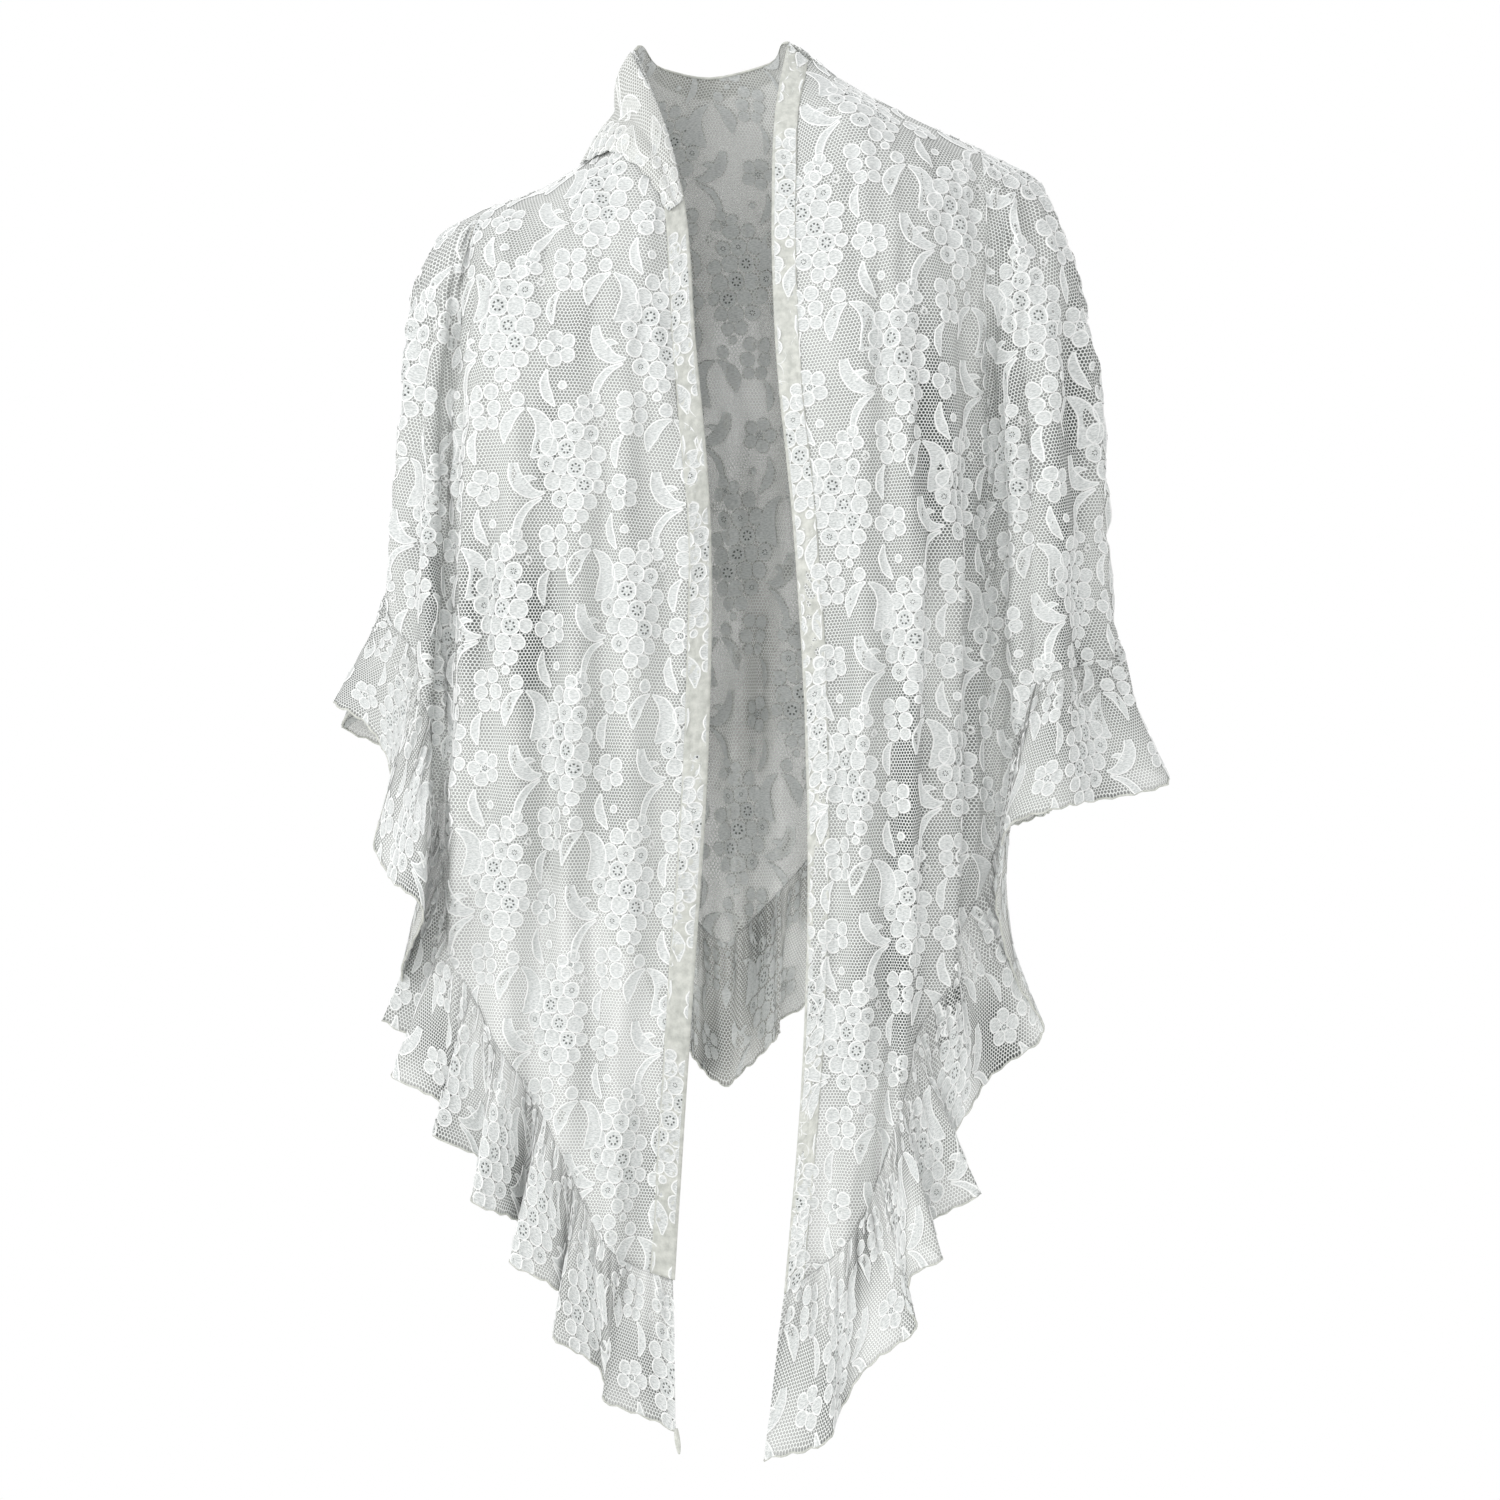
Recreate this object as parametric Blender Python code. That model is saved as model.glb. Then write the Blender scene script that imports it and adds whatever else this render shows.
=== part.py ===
"""Ruffled lace shawl, worn open over a general figure: body in five stretches, gathered ruffle, folded hems."""

import math

import bpy
import numpy as np

# Driving dimensions, in millimetres. x to the viewer's right, the fronts towards -y, z up, origin at the neck base.
MM = 0.001
WALL = 1.6  # thickness of the body's cloth
THIN_WALL = 1.2  # of the ruffle, the hems and the turned edge
SEAM_GAP = 0.5  # kept between neighbouring pieces
BAND_WIDTH = 18.0  # folded hem along the fronts and the nape
LAID_ON = 3.0  # how far a piece that lies on a panel is moved out
FLUTE_PITCH = 47.0  # seam length taken up by one flute of the ruffle
FLUTE_DEPTH = 19.0  # how far a flute stands in and out of the cloth at the hem
FLUTE_SWING = 7.0  # how far it swings along the seam at the hem, where the seam is steep
FOLD_PITCH = 52.0  # soft folds that hang in the panels
FOLD_DEPTH = 3.5
TAIL_LENGTH = 19.0
TAIL_SIDES = 8
TURNED_ROWS = 4  # of the front that the turned edge covers
TURNED_RIBS = 1.45  # how far the turned edge reaches out along the shoulder, in ribs
TURNED_LIFT = 6.0  # how far its scallops stand off the shoulder
FLUTE_STEP = 9.0  # longest face along the seam
RUFFLE_ROWS = 3
RUFFLE_DROP = 106.0  # from the seam to the hem along the hang
RUFFLE_FLARE = 0.3  # how far it hangs away from the seam, for each unit down
RUFFLE_STAND = 8.0  # how far its hem stands out from the cloth above
ROWS = 15  # of faces down every stretch, so that neighbours share their seam line
ROW_CROWDING = 1.4  # over 1 crowds the rows towards the shoulders, where the cloth bends most

# Ribs run from the shoulder line or neck edge down to the ruffle seam. Each side lists them from its front
# edge, round the arm, to the nape; both sides share the middle of the back.
RIGHT_RIBS = {
    "front_edge": [(38, -1, 70), (29, -38, 20), (26, -82, -50), (28, -106, -150), (42, -114, -300),
                   (50, -114, -430), (48, -108, -700), (35, -100, -860)],
    "front_in": [(75, -1, 43), (74, -52, 22), (78, -96, -50), (84, -119, -150), (92, -124, -300),
                 (94, -124, -430), (90, -114, -700), (84, -106, -818)],
    "front_out": [(125, -1, 16), (126, -50, 0), (132, -92, -60), (138, -114, -150), (142, -120, -300),
                  (142, -120, -430), (139, -110, -600), (134, -108, -676)],
    "front_fold": [(180, -2, -10), (182, -38, -24), (184, -58, -80), (184, -62, -150), (186, -62, -300),
                   (188, -62, -400), (192, -66, -530)],
    "arm_front": [(187, -3, -14), (200, -34, -32), (210, -62, -80), (216, -76, -150), (222, -84, -300),
                  (224, -84, -406)],
    "arm_front_side": [(189.5, -1.5, -15), (216, -22, -36), (240, -38, -80), (252, -44, -150),
                       (262, -48, -300), (266, -48, -394)],
    "arm_side": [(190, 0, -15), (222, 0, -33), (243, 0, -80), (261, 0, -150), (272, 0, -290), (278, 0, -378)],
    "arm_back_side": [(189.5, 1.5, -15), (216, 22, -36), (238, 38, -80), (249, 44, -150), (260, 48, -300),
                      (262, 50, -385)],
    "arm_back": [(187, 3, -14), (200, 36, -34), (208, 68, -82), (214, 82, -150), (220, 90, -300),
                 (222, 92, -404)],
    "back_fold": [(180, 2, -10), (178, 40, -26), (176, 84, -82), (176, 102, -150), (180, 112, -300),
                  (182, 114, -425)],
    "back_out": [(125, 1, 16), (124, 48, -2), (124, 98, -66), (126, 116, -150), (128, 124, -300),
                 (130, 126, -455)],
    "back_in": [(75, 1, 43), (74, 44, 22), (72, 98, -58), (74, 124, -150), (74, 132, -320), (74, 134, -515)],
    "neck_side": [(38, 5, 70), (40, 44, 40), (38, 96, -40), (36, 128, -150), (36, 136, -340), (34, 138, -562)],
    "nape_side": [(18, 52, 54), (16, 80, 10), (12, 112, -60), (8, 128, -150), (6, 138, -340), (4, 140, -592)],
}
MIDDLE_BACK = [(-20, 72, 46), (-20, 92, 6), (-17, 116, -60), (-14, 130, -150), (-10, 140, -340), (-8, 142, -604)]
LEFT_RIBS = {
    "front_edge": [(-77, -1, 64), (-58, -36, 18), (-42, -80, -45), (-33, -106, -150), (-21, -114, -290),
                   (-22, -114, -430), (-38, -108, -690), (-48, -100, -850)],
    "front_in": [(-95, -1, 2), (-84, -52, -8), (-76, -96, -62), (-76, -119, -150), (-72, -124, -290),
                 (-72, -124, -430), (-82, -114, -690), (-92, -106, -830)],
    "front_out": [(-140, -1, -36), (-134, -50, -44), (-132, -94, -88), (-134, -116, -150), (-134, -122, -290),
                  (-134, -122, -430), (-140, -110, -620), (-144, -106, -728)],
    "front_ridge": [(-172, -1, -49), (-176, -44, -58), (-182, -82, -98), (-188, -100, -150),
                    (-196, -104, -300), (-200, -104, -430), (-206, -100, -560), (-206, -98, -622)],
    "front_fold": [(-179, -2, -51), (-192, -34, -64), (-202, -54, -100), (-206, -58, -150),
                   (-210, -58, -300), (-214, -60, -430), (-220, -68, -540)],
    "arm_front": [(-186, -3, -54), (-200, -30, -66), (-216, -52, -100), (-224, -58, -150),
                  (-230, -62, -300), (-234, -68, -412)],
    "arm_front_side": [(-188.5, -1.5, -55), (-212, -18, -70), (-230, -32, -100), (-238, -38, -150),
                       (-246, -42, -290), (-251, -46, -372)],
    "arm_side": [(-189, 0, -55), (-216, 0, -71), (-234, 0, -100), (-244, 0, -150), (-247, 0, -250),
                 (-259, 0, -336)],
    "arm_back_side": [(-188.5, 1.5, -55), (-212, 18, -70), (-229, 34, -100), (-236, 42, -150),
                      (-242, 46, -290), (-248, 50, -366)],
    "arm_back": [(-186, 3, -54), (-200, 34, -68), (-208, 66, -104), (-210, 80, -150), (-214, 88, -300),
                 (-216, 92, -400)],
    "back_fold": [(-179, 2, -51), (-180, 40, -64), (-178, 82, -106), (-176, 100, -150), (-178, 110, -300),
                  (-180, 112, -428)],
    "back_out": [(-140, 1, -36), (-136, 46, -46), (-130, 96, -92), (-130, 114, -150), (-130, 122, -300),
                 (-130, 126, -462)],
    "back_in": [(-95, 1, 2), (-88, 46, -8), (-82, 98, -72), (-80, 122, -150), (-80, 132, -320),
                (-80, 134, -518)],
    "neck_side": [(-77, 5, 64), (-70, 44, 36), (-62, 94, -44), (-54, 126, -150), (-50, 136, -340),
                  (-46, 138, -565)],
    "nape_side": [(-56, 50, 52), (-50, 78, 10), (-42, 110, -60), (-34, 128, -150), (-30, 138, -340),
                  (-26, 140, -592)],
}


def spline(points, knots, at):
    """The smooth curve through points, one for each knot, read at the places in at."""
    points, knots, at = np.asarray(points, float), np.asarray(knots, float), np.asarray(at, float)
    gaps = np.diff(knots)
    slopes = np.diff(points, axis=0) / gaps[:, None]
    tangents = np.empty_like(points)
    tangents[0], tangents[-1] = slopes[0], slopes[-1]
    share = (gaps[:-1] / (gaps[:-1] + gaps[1:]))[:, None]
    tangents[1:-1] = slopes[:-1] * (1 - share) + slopes[1:] * share
    i = np.clip(np.searchsorted(knots, at, side="right") - 1, 0, len(gaps) - 1)
    h = gaps[i][:, None]
    f = ((at - knots[i]) / gaps[i])[:, None]
    return (
        points[i] * (1 + 2 * f) * (1 - f) ** 2
        + tangents[i] * h * f * (1 - f) ** 2
        + points[i + 1] * f * f * (3 - 2 * f)
        - tangents[i + 1] * h * f * f * (1 - f)
    )


def smooth(value, low, high):
    f = np.clip((value - low) / (high - low), 0, 1)
    return f * f * (3 - 2 * f)


def along(points):
    """Distance along a line of points, from its start."""
    return np.concatenate([[0], np.cumsum(np.linalg.norm(np.diff(points, axis=0), axis=1))])


class Body:
    """The lace as one surface: around runs through the ribs from the left front edge to the right one, down
    runs along each rib from 0 at the top to 1 at the ruffle seam."""

    def __init__(self):
        left, right = list(LEFT_RIBS.items()), list(RIGHT_RIBS.items())
        self.names = ["left_" + n for n, _ in left] + ["middle"] + ["right_" + n for n, _ in right[::-1]]
        self.ribs = [r for _, r in left] + [MIDDLE_BACK] + [r for _, r in right[::-1]]
        middles = np.array([self.on_rib(r, np.array([0.55]))[0] for r in self.ribs])
        self.knots = along(middles)

    def on_rib(self, rib, down):
        """Points on one rib, spaced by length."""
        rib = np.array(rib, float)
        knots = along(rib)
        fine = spline(rib, knots, np.linspace(0, knots[-1], 120))
        lengths = along(fine)
        return np.stack([np.interp(down * lengths[-1], lengths, fine[:, k]) for k in range(3)], axis=1)

    def at(self, name):
        """Where a named rib stands around the body."""
        return self.knots[self.names.index(name)]

    def gap(self, name, down):
        """Half the seam gap beside a rib, as a step around, none at the two front edges."""
        if name.endswith("front_edge"):
            return np.zeros(len(down))
        here = np.full(len(down), self.at(name))
        reach = np.linalg.norm(self(here + 1, down) - self(here - 1, down), axis=1) / 2
        return SEAM_GAP / 2 / np.maximum(reach, 0.08)

    def plain(self, around, down):
        down = np.asarray(down, float)
        ribs = np.array([self.on_rib(r, down) for r in self.ribs])
        return np.stack([spline(ribs[:, j], self.knots, np.array([around[j]]))[0] for j in range(len(down))])

    def normals(self, around, down, surface):
        """Outward unit normals of the surface, from small steps both ways."""
        step_a, step_d = 0.5, 0.002
        a = surface(around + step_a, down) - surface(around - step_a, down)
        low, high = np.clip(down - step_d, 0, 1), np.clip(down + step_d, 0, 1)
        d = surface(around, high) - surface(around, low)
        n = np.cross(a, d)
        n /= np.linalg.norm(n, axis=1)[:, None]
        return n

    def folds(self, around, down):
        """How far the soft hanging folds stand out, along the normal."""
        reach = smooth(down, 0.3, 0.62) * FOLD_DEPTH
        edge = smooth(around, 4, 40) * smooth(self.knots[-1] - around, 4, 40)
        for name in ("left_front_fold", "right_front_fold"):  # the deep fold beside each arm is the ribs' own
            edge = edge * smooth(np.abs(around - self.at(name)), 18, 60)
        return reach * edge * np.sin(2 * math.pi * around / FOLD_PITCH + 1.1 * np.sin(around / 90))

    def __call__(self, around, down):
        around, down = np.broadcast_arrays(np.asarray(around, float), np.asarray(down, float))
        around = np.clip(around, 0, self.knots[-1])
        points = self.plain(around, down)
        inner = np.clip(around, 0.6, self.knots[-1] - 0.6)
        return points + self.normals(inner, down, self.plain) * self.folds(around, down)[:, None]


body = Body()


def wall(name, points, normals, colour, thickness=WALL):
    """A closed cloth wall on a grid of points, rows by columns, half its thickness each side."""
    rows, columns = points.shape[:2]
    outer, inner = points + normals * thickness / 2, points - normals * thickness / 2
    vertices = np.concatenate([outer.reshape(-1, 3), inner.reshape(-1, 3)]) * MM
    skin = rows * columns

    def number(side, r, c):
        return side * skin + r * columns + c

    faces = []
    for r in range(rows - 1):
        for c in range(columns - 1):
            for third in ((r + 1, c), (r, c + 1)):  # both skins are split along the same diagonal
                corners = [(r, c), third, (r + 1, c + 1)]
                if third[1] > c:
                    corners.reverse()
                faces.append([number(0, *p) for p in corners])
                faces.append([number(1, *p) for p in corners[::-1]])
    rim = (
        [(0, c) for c in range(columns)]
        + [(r, columns - 1) for r in range(1, rows)]
        + [(rows - 1, c) for c in range(columns - 2, -1, -1)]
        + [(r, 0) for r in range(rows - 2, 0, -1)]
    )
    for here, there in zip(rim, rim[1:] + rim[:1]):
        outer_here, outer_there, inner_there, inner_here = (
            number(side, *place) for side, place in ((0, here), (0, there), (1, there), (1, here))
        )
        if here < there:  # facing rims are split along the same diagonal too
            faces += [[outer_here, outer_there, inner_there], [outer_here, inner_there, inner_here]]
        else:
            faces += [[outer_here, outer_there, inner_here], [outer_there, inner_there, inner_here]]
    mesh = bpy.data.meshes.new(name)
    mesh.from_pydata(vertices.tolist(), [], faces)
    return finish(name, mesh, colour)


def finish(name, mesh, colour):
    """Faces outward, smooth shading, the piece's own material, and its object."""
    if signed_volume(mesh) < 0:
        mesh.flip_normals()
    mesh.shade_smooth()
    mesh.set_sharp_from_angle(angle=math.radians(50))
    material = bpy.data.materials.new(name)
    material.use_nodes = True
    shader = material.node_tree.nodes["Principled BSDF"]
    shader.inputs["Base Color"].default_value = (*colour, 1)
    shader.inputs["Roughness"].default_value = 0.85
    shader.inputs["Metallic"].default_value = 0
    mesh.materials.append(material)
    piece = bpy.data.objects.new(name, mesh)
    bpy.context.scene.collection.objects.link(piece)
    return piece


def signed_volume(mesh):
    total = 0.0
    for polygon in mesh.polygons:
        corners = [mesh.vertices[i].co for i in polygon.vertices]
        for k in range(1, len(corners) - 1):
            total += corners[0].dot(corners[k].cross(corners[k + 1]))
    return total / 6


LACE = (0.86, 0.88, 0.87)
HEM = (0.82, 0.83, 0.78)


class Sheet:
    """A grid of points with their outward normals, rows by columns. What is sewn to a sheet or lies on it is
    read from this grid, so that it follows the same flat faces."""

    def __init__(self, points, normals):
        self.points, self.normals = points, normals

    def read(self, row, column):
        """The point and the normal at fractional rows and columns, on the sheet's triangles."""
        row, column = np.broadcast_arrays(np.asarray(row, float), np.asarray(column, float))
        rows, columns = self.points.shape[:2]
        r = np.clip(row.astype(int), 0, rows - 2)
        c = np.clip(column.astype(int), 0, columns - 2)
        fr, fc = (row - r)[..., None], (column - c)[..., None]
        found = []
        for table in (self.points, self.normals):
            first, last = table[r, c], table[r + 1, c + 1]
            below, beside = table[r + 1, c], table[r, c + 1]
            lower = first + fr * (below - first) + fc * (last - below)
            upper = first + fc * (beside - first) + fr * (last - beside)
            found.append(np.where(fr > fc, lower, upper))
        found[1] /= np.linalg.norm(found[1], axis=-1)[..., None]
        return found

    def build(self, name, colour, thickness=WALL):
        return wall(name, self.points, self.normals, colour, thickness)


def stretch(name, start, end, per_rib):
    """One stretch of the body, from one rib to another, short of each by half the seam gap."""
    d = np.linspace(0, 1, ROWS + 1) ** ROW_CROWDING
    ribs = body.knots[body.names.index(start) : body.names.index(end) + 1]
    around = np.interp(np.arange((len(ribs) - 1) * per_rib + 1) / per_rib, np.arange(len(ribs)), ribs)
    facing_at = np.clip(np.tile(around, (len(d), 1)), 0.6, body.knots[-1] - 0.6)
    around = np.tile(around, (len(d), 1))
    around[:, 0] += body.gap(start, d)
    around[:, -1] -= body.gap(end, d)
    down = np.repeat(d, around.shape[1])
    points = body(around.ravel(), down)
    normals = body.normals(facing_at.ravel(), down, body)
    sheet = Sheet(points.reshape(*around.shape, 3), normals.reshape(*around.shape, 3))
    sheet.build(name, LACE)
    return sheet


def blurred(values, steps):
    """A row of vectors, each averaged with its neighbours and made a unit vector again."""
    for _ in range(steps):
        values[1:-1] = (values[:-2] + 2 * values[1:-1] + values[2:]) / 4
    return values / np.linalg.norm(values, axis=1)[:, None]


def ruffles(sheets):
    """The gathered strip that hangs from the seam all the way round, cut where the stretches part. Its flutes
    deepen towards the hem."""
    points, tops, ends = [], [], [0]
    for sheet in sheets.values():
        edge = sheet.points[-1]
        columns = [0.0]
        for c, width in enumerate(np.linalg.norm(np.diff(edge, axis=0), axis=1)):
            parts = max(1, math.ceil(width / FLUTE_STEP))
            columns += [c + k / parts for k in range(1, parts + 1)]
        found = sheet.read(len(sheet.points) - 1, np.array(columns))
        points.append(found[0])
        tops.append(found[1])
        ends.append(ends[-1] + len(columns))
    points, tops = np.concatenate(points), np.concatenate(tops)
    lengths = along(points)
    even = np.arange(0, lengths[-1], 4.0)
    line = np.stack([np.interp(even, lengths, points[:, k]) for k in range(3)], axis=1)
    out = np.stack([np.interp(even, lengths, tops[:, k]) for k in range(3)], axis=1) * (1, 1, 0)
    line_ways = blurred(np.gradient(line, axis=0), 90)
    line_out = blurred(out, 120)
    ways = np.stack([np.interp(lengths, even, line_ways[:, k]) for k in range(3)], axis=1)
    out = np.stack([np.interp(lengths, even, line_out[:, k]) for k in range(3)], axis=1)
    away = np.cross(out, ways)
    away /= np.linalg.norm(away, axis=1)[:, None]
    away *= np.where(away[:, 2] > 0, -1, 1)[:, None]
    steep = np.abs(ways[:, 2])[:, None]
    hang = away * (RUFFLE_FLARE + 0.3 * steep**4) + np.array([0, 0, -1.0])
    hang /= np.linalg.norm(hang, axis=1)[:, None]
    flutes = round(lengths[-1] / FLUTE_PITCH)
    turn = (2 * math.pi * flutes * lengths / lengths[-1])[:, None]
    pitch = FLUTE_PITCH * np.linalg.norm(np.cross(ways, hang), axis=1)[:, None]
    depth = np.minimum(FLUTE_DEPTH, pitch**2 / 125)
    swing = FLUTE_SWING * (0.25 + 0.75 * steep) * np.minimum(1, pitch / 34)
    beside = np.cross(tops, blurred(np.gradient(points, axis=0), 1))
    beside *= np.sign((beside * away).sum(1))[:, None]
    top = points + beside / np.linalg.norm(beside, axis=1)[:, None] * SEAM_GAP
    rows = [top]
    for v in np.linspace(0, 1, RUFFLE_ROWS + 1)[1:]:
        rows.append(
            top
            + hang * v * RUFFLE_DROP
            + out * v * RUFFLE_STAND
            + out * depth * v * np.sin(turn)
            + ways * (1, 1, 0) * swing * v * (np.cos(turn) - 1) / 2
        )
    grid = np.array(rows)
    facing = np.cross(np.gradient(grid, axis=1), np.gradient(grid, axis=0))
    facing /= np.linalg.norm(facing, axis=2)[:, :, None]
    facing *= np.sign((facing[1] * out).sum(1).mean())
    facing[0] = tops
    for end in ends[1:-1]:  # both sides of a cut face the same way
        facing[:, end - 1] += facing[:, end]
        facing[:, end - 1] /= np.linalg.norm(facing[:, end - 1], axis=1)[:, None]
        facing[:, end] = facing[:, end - 1]
    for name, low, high in zip(sheets, ends, ends[1:]):
        wall("ruffle_" + name, grid[:, low:high], facing[:, low:high], LACE, THIN_WALL)
    return grid[-1, 0]


def laid(name, sheet, rows, columns, colour):
    """A strip that lies on a sheet: the sheet's own faces, moved out."""
    points, normals = sheet.read(rows, columns)
    Sheet(points + normals * LAID_ON, normals).build(name, colour, THIN_WALL)


def front_band(name, sheet, side, first_row):
    """The folded hem on one front edge, as wide all the way down."""
    last = sheet.points.shape[1] - 1
    edge, inner = (0, 1) if side < 0 else (last, last - 1)
    widths = np.linalg.norm(sheet.points[:, inner] - sheet.points[:, edge], axis=1)
    reach = (BAND_WIDTH / widths)[first_row:, None]
    steps = np.array([0.02, 0.5, 1.0]) if side < 0 else np.array([1.0, 0.5, 0.02])
    columns = reach * steps if side < 0 else last - reach * steps
    rows = np.arange(first_row, len(sheet.points), dtype=float)[:, None]
    laid(name, sheet, rows, columns, HEM)


def nape_band(sheet, per_rib):
    """The same hem round the back of the neck."""
    first = body.names.index("left_back_fold")
    low, high = (body.names.index(n) - first for n in ("left_neck_side", "right_neck_side"))
    columns = np.arange(low * per_rib, high * per_rib + 1, 0.5)[None, :]
    columns[0, [0, -1]] += (0.1, -0.1)
    rows = np.array([0.05, 0.6, 1.25])[:, None]
    laid("nape_band", sheet, rows, columns, HEM)


def turned_edge(front, back, per_rib_front, per_rib_back):
    """The neck edge turned over on the left shoulder, its free edge in two scallops. It runs from the front
    over the shoulder line to the back, and lies on both sheets."""
    neck = (body.names.index("left_neck_side") - body.names.index("left_back_fold")) * per_rib_back
    lines = [(front, 4, 0.2), (front, 3, 0.5), (front, 2, 0.8), (front, 1, 0.95), (front, 0, 1.0),
             (back, 0, 1.0), (back, 1, 0.9), (back, 2, 0.65), (back, 3, 0.3)]
    points, normals = [], []
    for sheet, row, share in lines:
        across = np.linspace(0.03, 1, 9)
        ribs = across * share * TURNED_RIBS
        columns = ribs * per_rib_front if sheet is front else neck - ribs * per_rib_back
        found = sheet.read(row, columns)
        lift = LAID_ON + 0.8 + TURNED_LIFT * np.abs(np.sin(2 * math.pi * across)) * share
        points.append(found[0] + found[1] * lift[:, None])
        normals.append(found[1])
    Sheet(np.array(points), np.array(normals)).build("turned_edge", LACE, THIN_WALL)


def tail(corner):
    """The rolled end of the hem that hangs from the left tip."""
    top = corner - np.array([0, 0, THIN_WALL + SEAM_GAP])
    mesh = bpy.data.meshes.new("tip_tail")
    rings = []
    for k, (share, radius) in enumerate(((0, 1.6), (0.35, 2.4), (0.8, 2.0), (1, 0.9))):
        centre = top + np.array([3.0 * share, 0.5 * share, -TAIL_LENGTH * share - 1.0])
        turns = np.arange(TAIL_SIDES) / TAIL_SIDES * 2 * math.pi
        rings.append(centre + radius * np.stack([np.cos(turns), np.sin(turns), turns * 0], axis=1))
    faces = [list(range(TAIL_SIDES)), [3 * TAIL_SIDES + k for k in range(TAIL_SIDES)][::-1]]
    for ring in range(3):
        for k in range(TAIL_SIDES):
            a, b = ring * TAIL_SIDES + k, ring * TAIL_SIDES + (k + 1) % TAIL_SIDES
            faces.append([b, a, a + TAIL_SIDES, b + TAIL_SIDES])
    mesh.from_pydata((np.concatenate(rings) * MM).tolist(), [], faces)
    finish("tip_tail", mesh, HEM)


def build():
    for old in list(bpy.data.objects):
        bpy.data.objects.remove(old, do_unlink=True)
    sheets = {
        "front_left": stretch("front_left", "left_front_edge", "left_front_fold", 3),
        "arm_left": stretch("arm_left", "left_front_fold", "left_back_fold", 2),
        "back": stretch("back", "left_back_fold", "right_back_fold", 2),
        "arm_right": stretch("arm_right", "right_back_fold", "right_front_fold", 2),
        "front_right": stretch("front_right", "right_front_fold", "right_front_edge", 4),
    }
    tail(ruffles(sheets))
    front_band("front_band_left", sheets["front_left"], -1, TURNED_ROWS + 1)
    front_band("front_band_right", sheets["front_right"], 1, 1)
    nape_band(sheets["back"], 2)
    turned_edge(sheets["front_left"], sheets["back"], 3, 2)


build()
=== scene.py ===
import math

import bpy
import numpy as np
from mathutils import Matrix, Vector
from mathutils.bvhtree import BVHTree


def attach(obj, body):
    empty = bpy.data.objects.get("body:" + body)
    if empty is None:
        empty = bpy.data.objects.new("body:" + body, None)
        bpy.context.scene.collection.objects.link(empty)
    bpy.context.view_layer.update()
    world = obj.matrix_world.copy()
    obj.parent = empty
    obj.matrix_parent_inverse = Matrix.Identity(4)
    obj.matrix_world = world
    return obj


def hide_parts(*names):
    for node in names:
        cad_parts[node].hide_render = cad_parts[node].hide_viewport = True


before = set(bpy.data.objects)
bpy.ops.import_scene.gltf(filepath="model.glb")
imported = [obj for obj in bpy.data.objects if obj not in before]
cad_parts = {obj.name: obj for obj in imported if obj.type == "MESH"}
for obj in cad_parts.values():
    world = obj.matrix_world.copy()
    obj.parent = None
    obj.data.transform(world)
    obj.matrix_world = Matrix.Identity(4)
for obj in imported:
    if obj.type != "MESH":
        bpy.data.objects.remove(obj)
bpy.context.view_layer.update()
print("frame loaded:", len(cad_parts), "nodes")

mm = 0.001

# Ribs of the worn cloth, in mm: each runs from the shoulder line or neck edge down to the ruffle seam.
rightRibs = {
    "frontEdge": [(38, 2, 70), (29, -38, 20), (26, -82, -50), (28, -106, -150), (42, -114, -300),
                  (50, -114, -430), (48, -108, -700), (35, -100, -860)],
    "frontIn": [(75, 0, 43), (74, -52, 22), (78, -96, -50), (84, -119, -150), (92, -124, -300),
                (94, -124, -430), (90, -114, -700), (84, -106, -818)],
    "frontOut": [(125, 0, 16), (126, -50, 0), (132, -92, -60), (138, -114, -150), (142, -120, -300),
                 (142, -120, -430), (139, -110, -600), (134, -108, -676)],
    "frontFold": [(180, 0, -10), (182, -38, -24), (184, -58, -80), (184, -62, -150), (186, -62, -300),
                  (188, -62, -400), (192, -66, -530)],
    "armFront": [(187, -1, -14), (200, -34, -32), (210, -62, -80), (216, -76, -150), (222, -84, -300),
                 (224, -84, -406)],
    "armFrontSide": [(189.5, -1.5, -15), (216, -22, -36), (240, -38, -80), (252, -44, -150),
                     (262, -48, -300), (266, -48, -394)],
    "armSide": [(190, 0, -15), (222, 0, -33), (243, 0, -80), (261, 0, -150), (272, 0, -290), (278, 0, -378)],
    "armBackSide": [(189.5, 1.5, -15), (216, 22, -36), (238, 38, -80), (249, 44, -150), (260, 48, -300),
                    (262, 50, -385)],
    "armBack": [(187, 1, -14), (200, 36, -34), (208, 68, -82), (214, 82, -150), (220, 90, -300),
                (222, 92, -404)],
    "backFold": [(180, 0, -10), (178, 40, -26), (176, 84, -82), (176, 102, -150), (180, 112, -300),
                 (182, 114, -425)],
    "backOut": [(125, 0, 16), (124, 48, -2), (124, 98, -66), (126, 116, -150), (128, 124, -300),
                (130, 126, -455)],
    "backIn": [(75, 0, 43), (74, 44, 22), (72, 98, -58), (74, 124, -150), (74, 132, -320), (74, 134, -515)],
    "neckSide": [(38, 2, 70), (40, 44, 40), (38, 96, -40), (36, 128, -150), (36, 136, -340), (34, 138, -562)],
    "napeSide": [(18, 52, 54), (16, 80, 10), (12, 112, -60), (8, 128, -150), (6, 138, -340), (4, 140, -592)],
}
middleBack = [(-20, 72, 46), (-20, 92, 6), (-17, 116, -60), (-14, 130, -150), (-10, 140, -340),
              (-8, 142, -604)]
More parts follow.
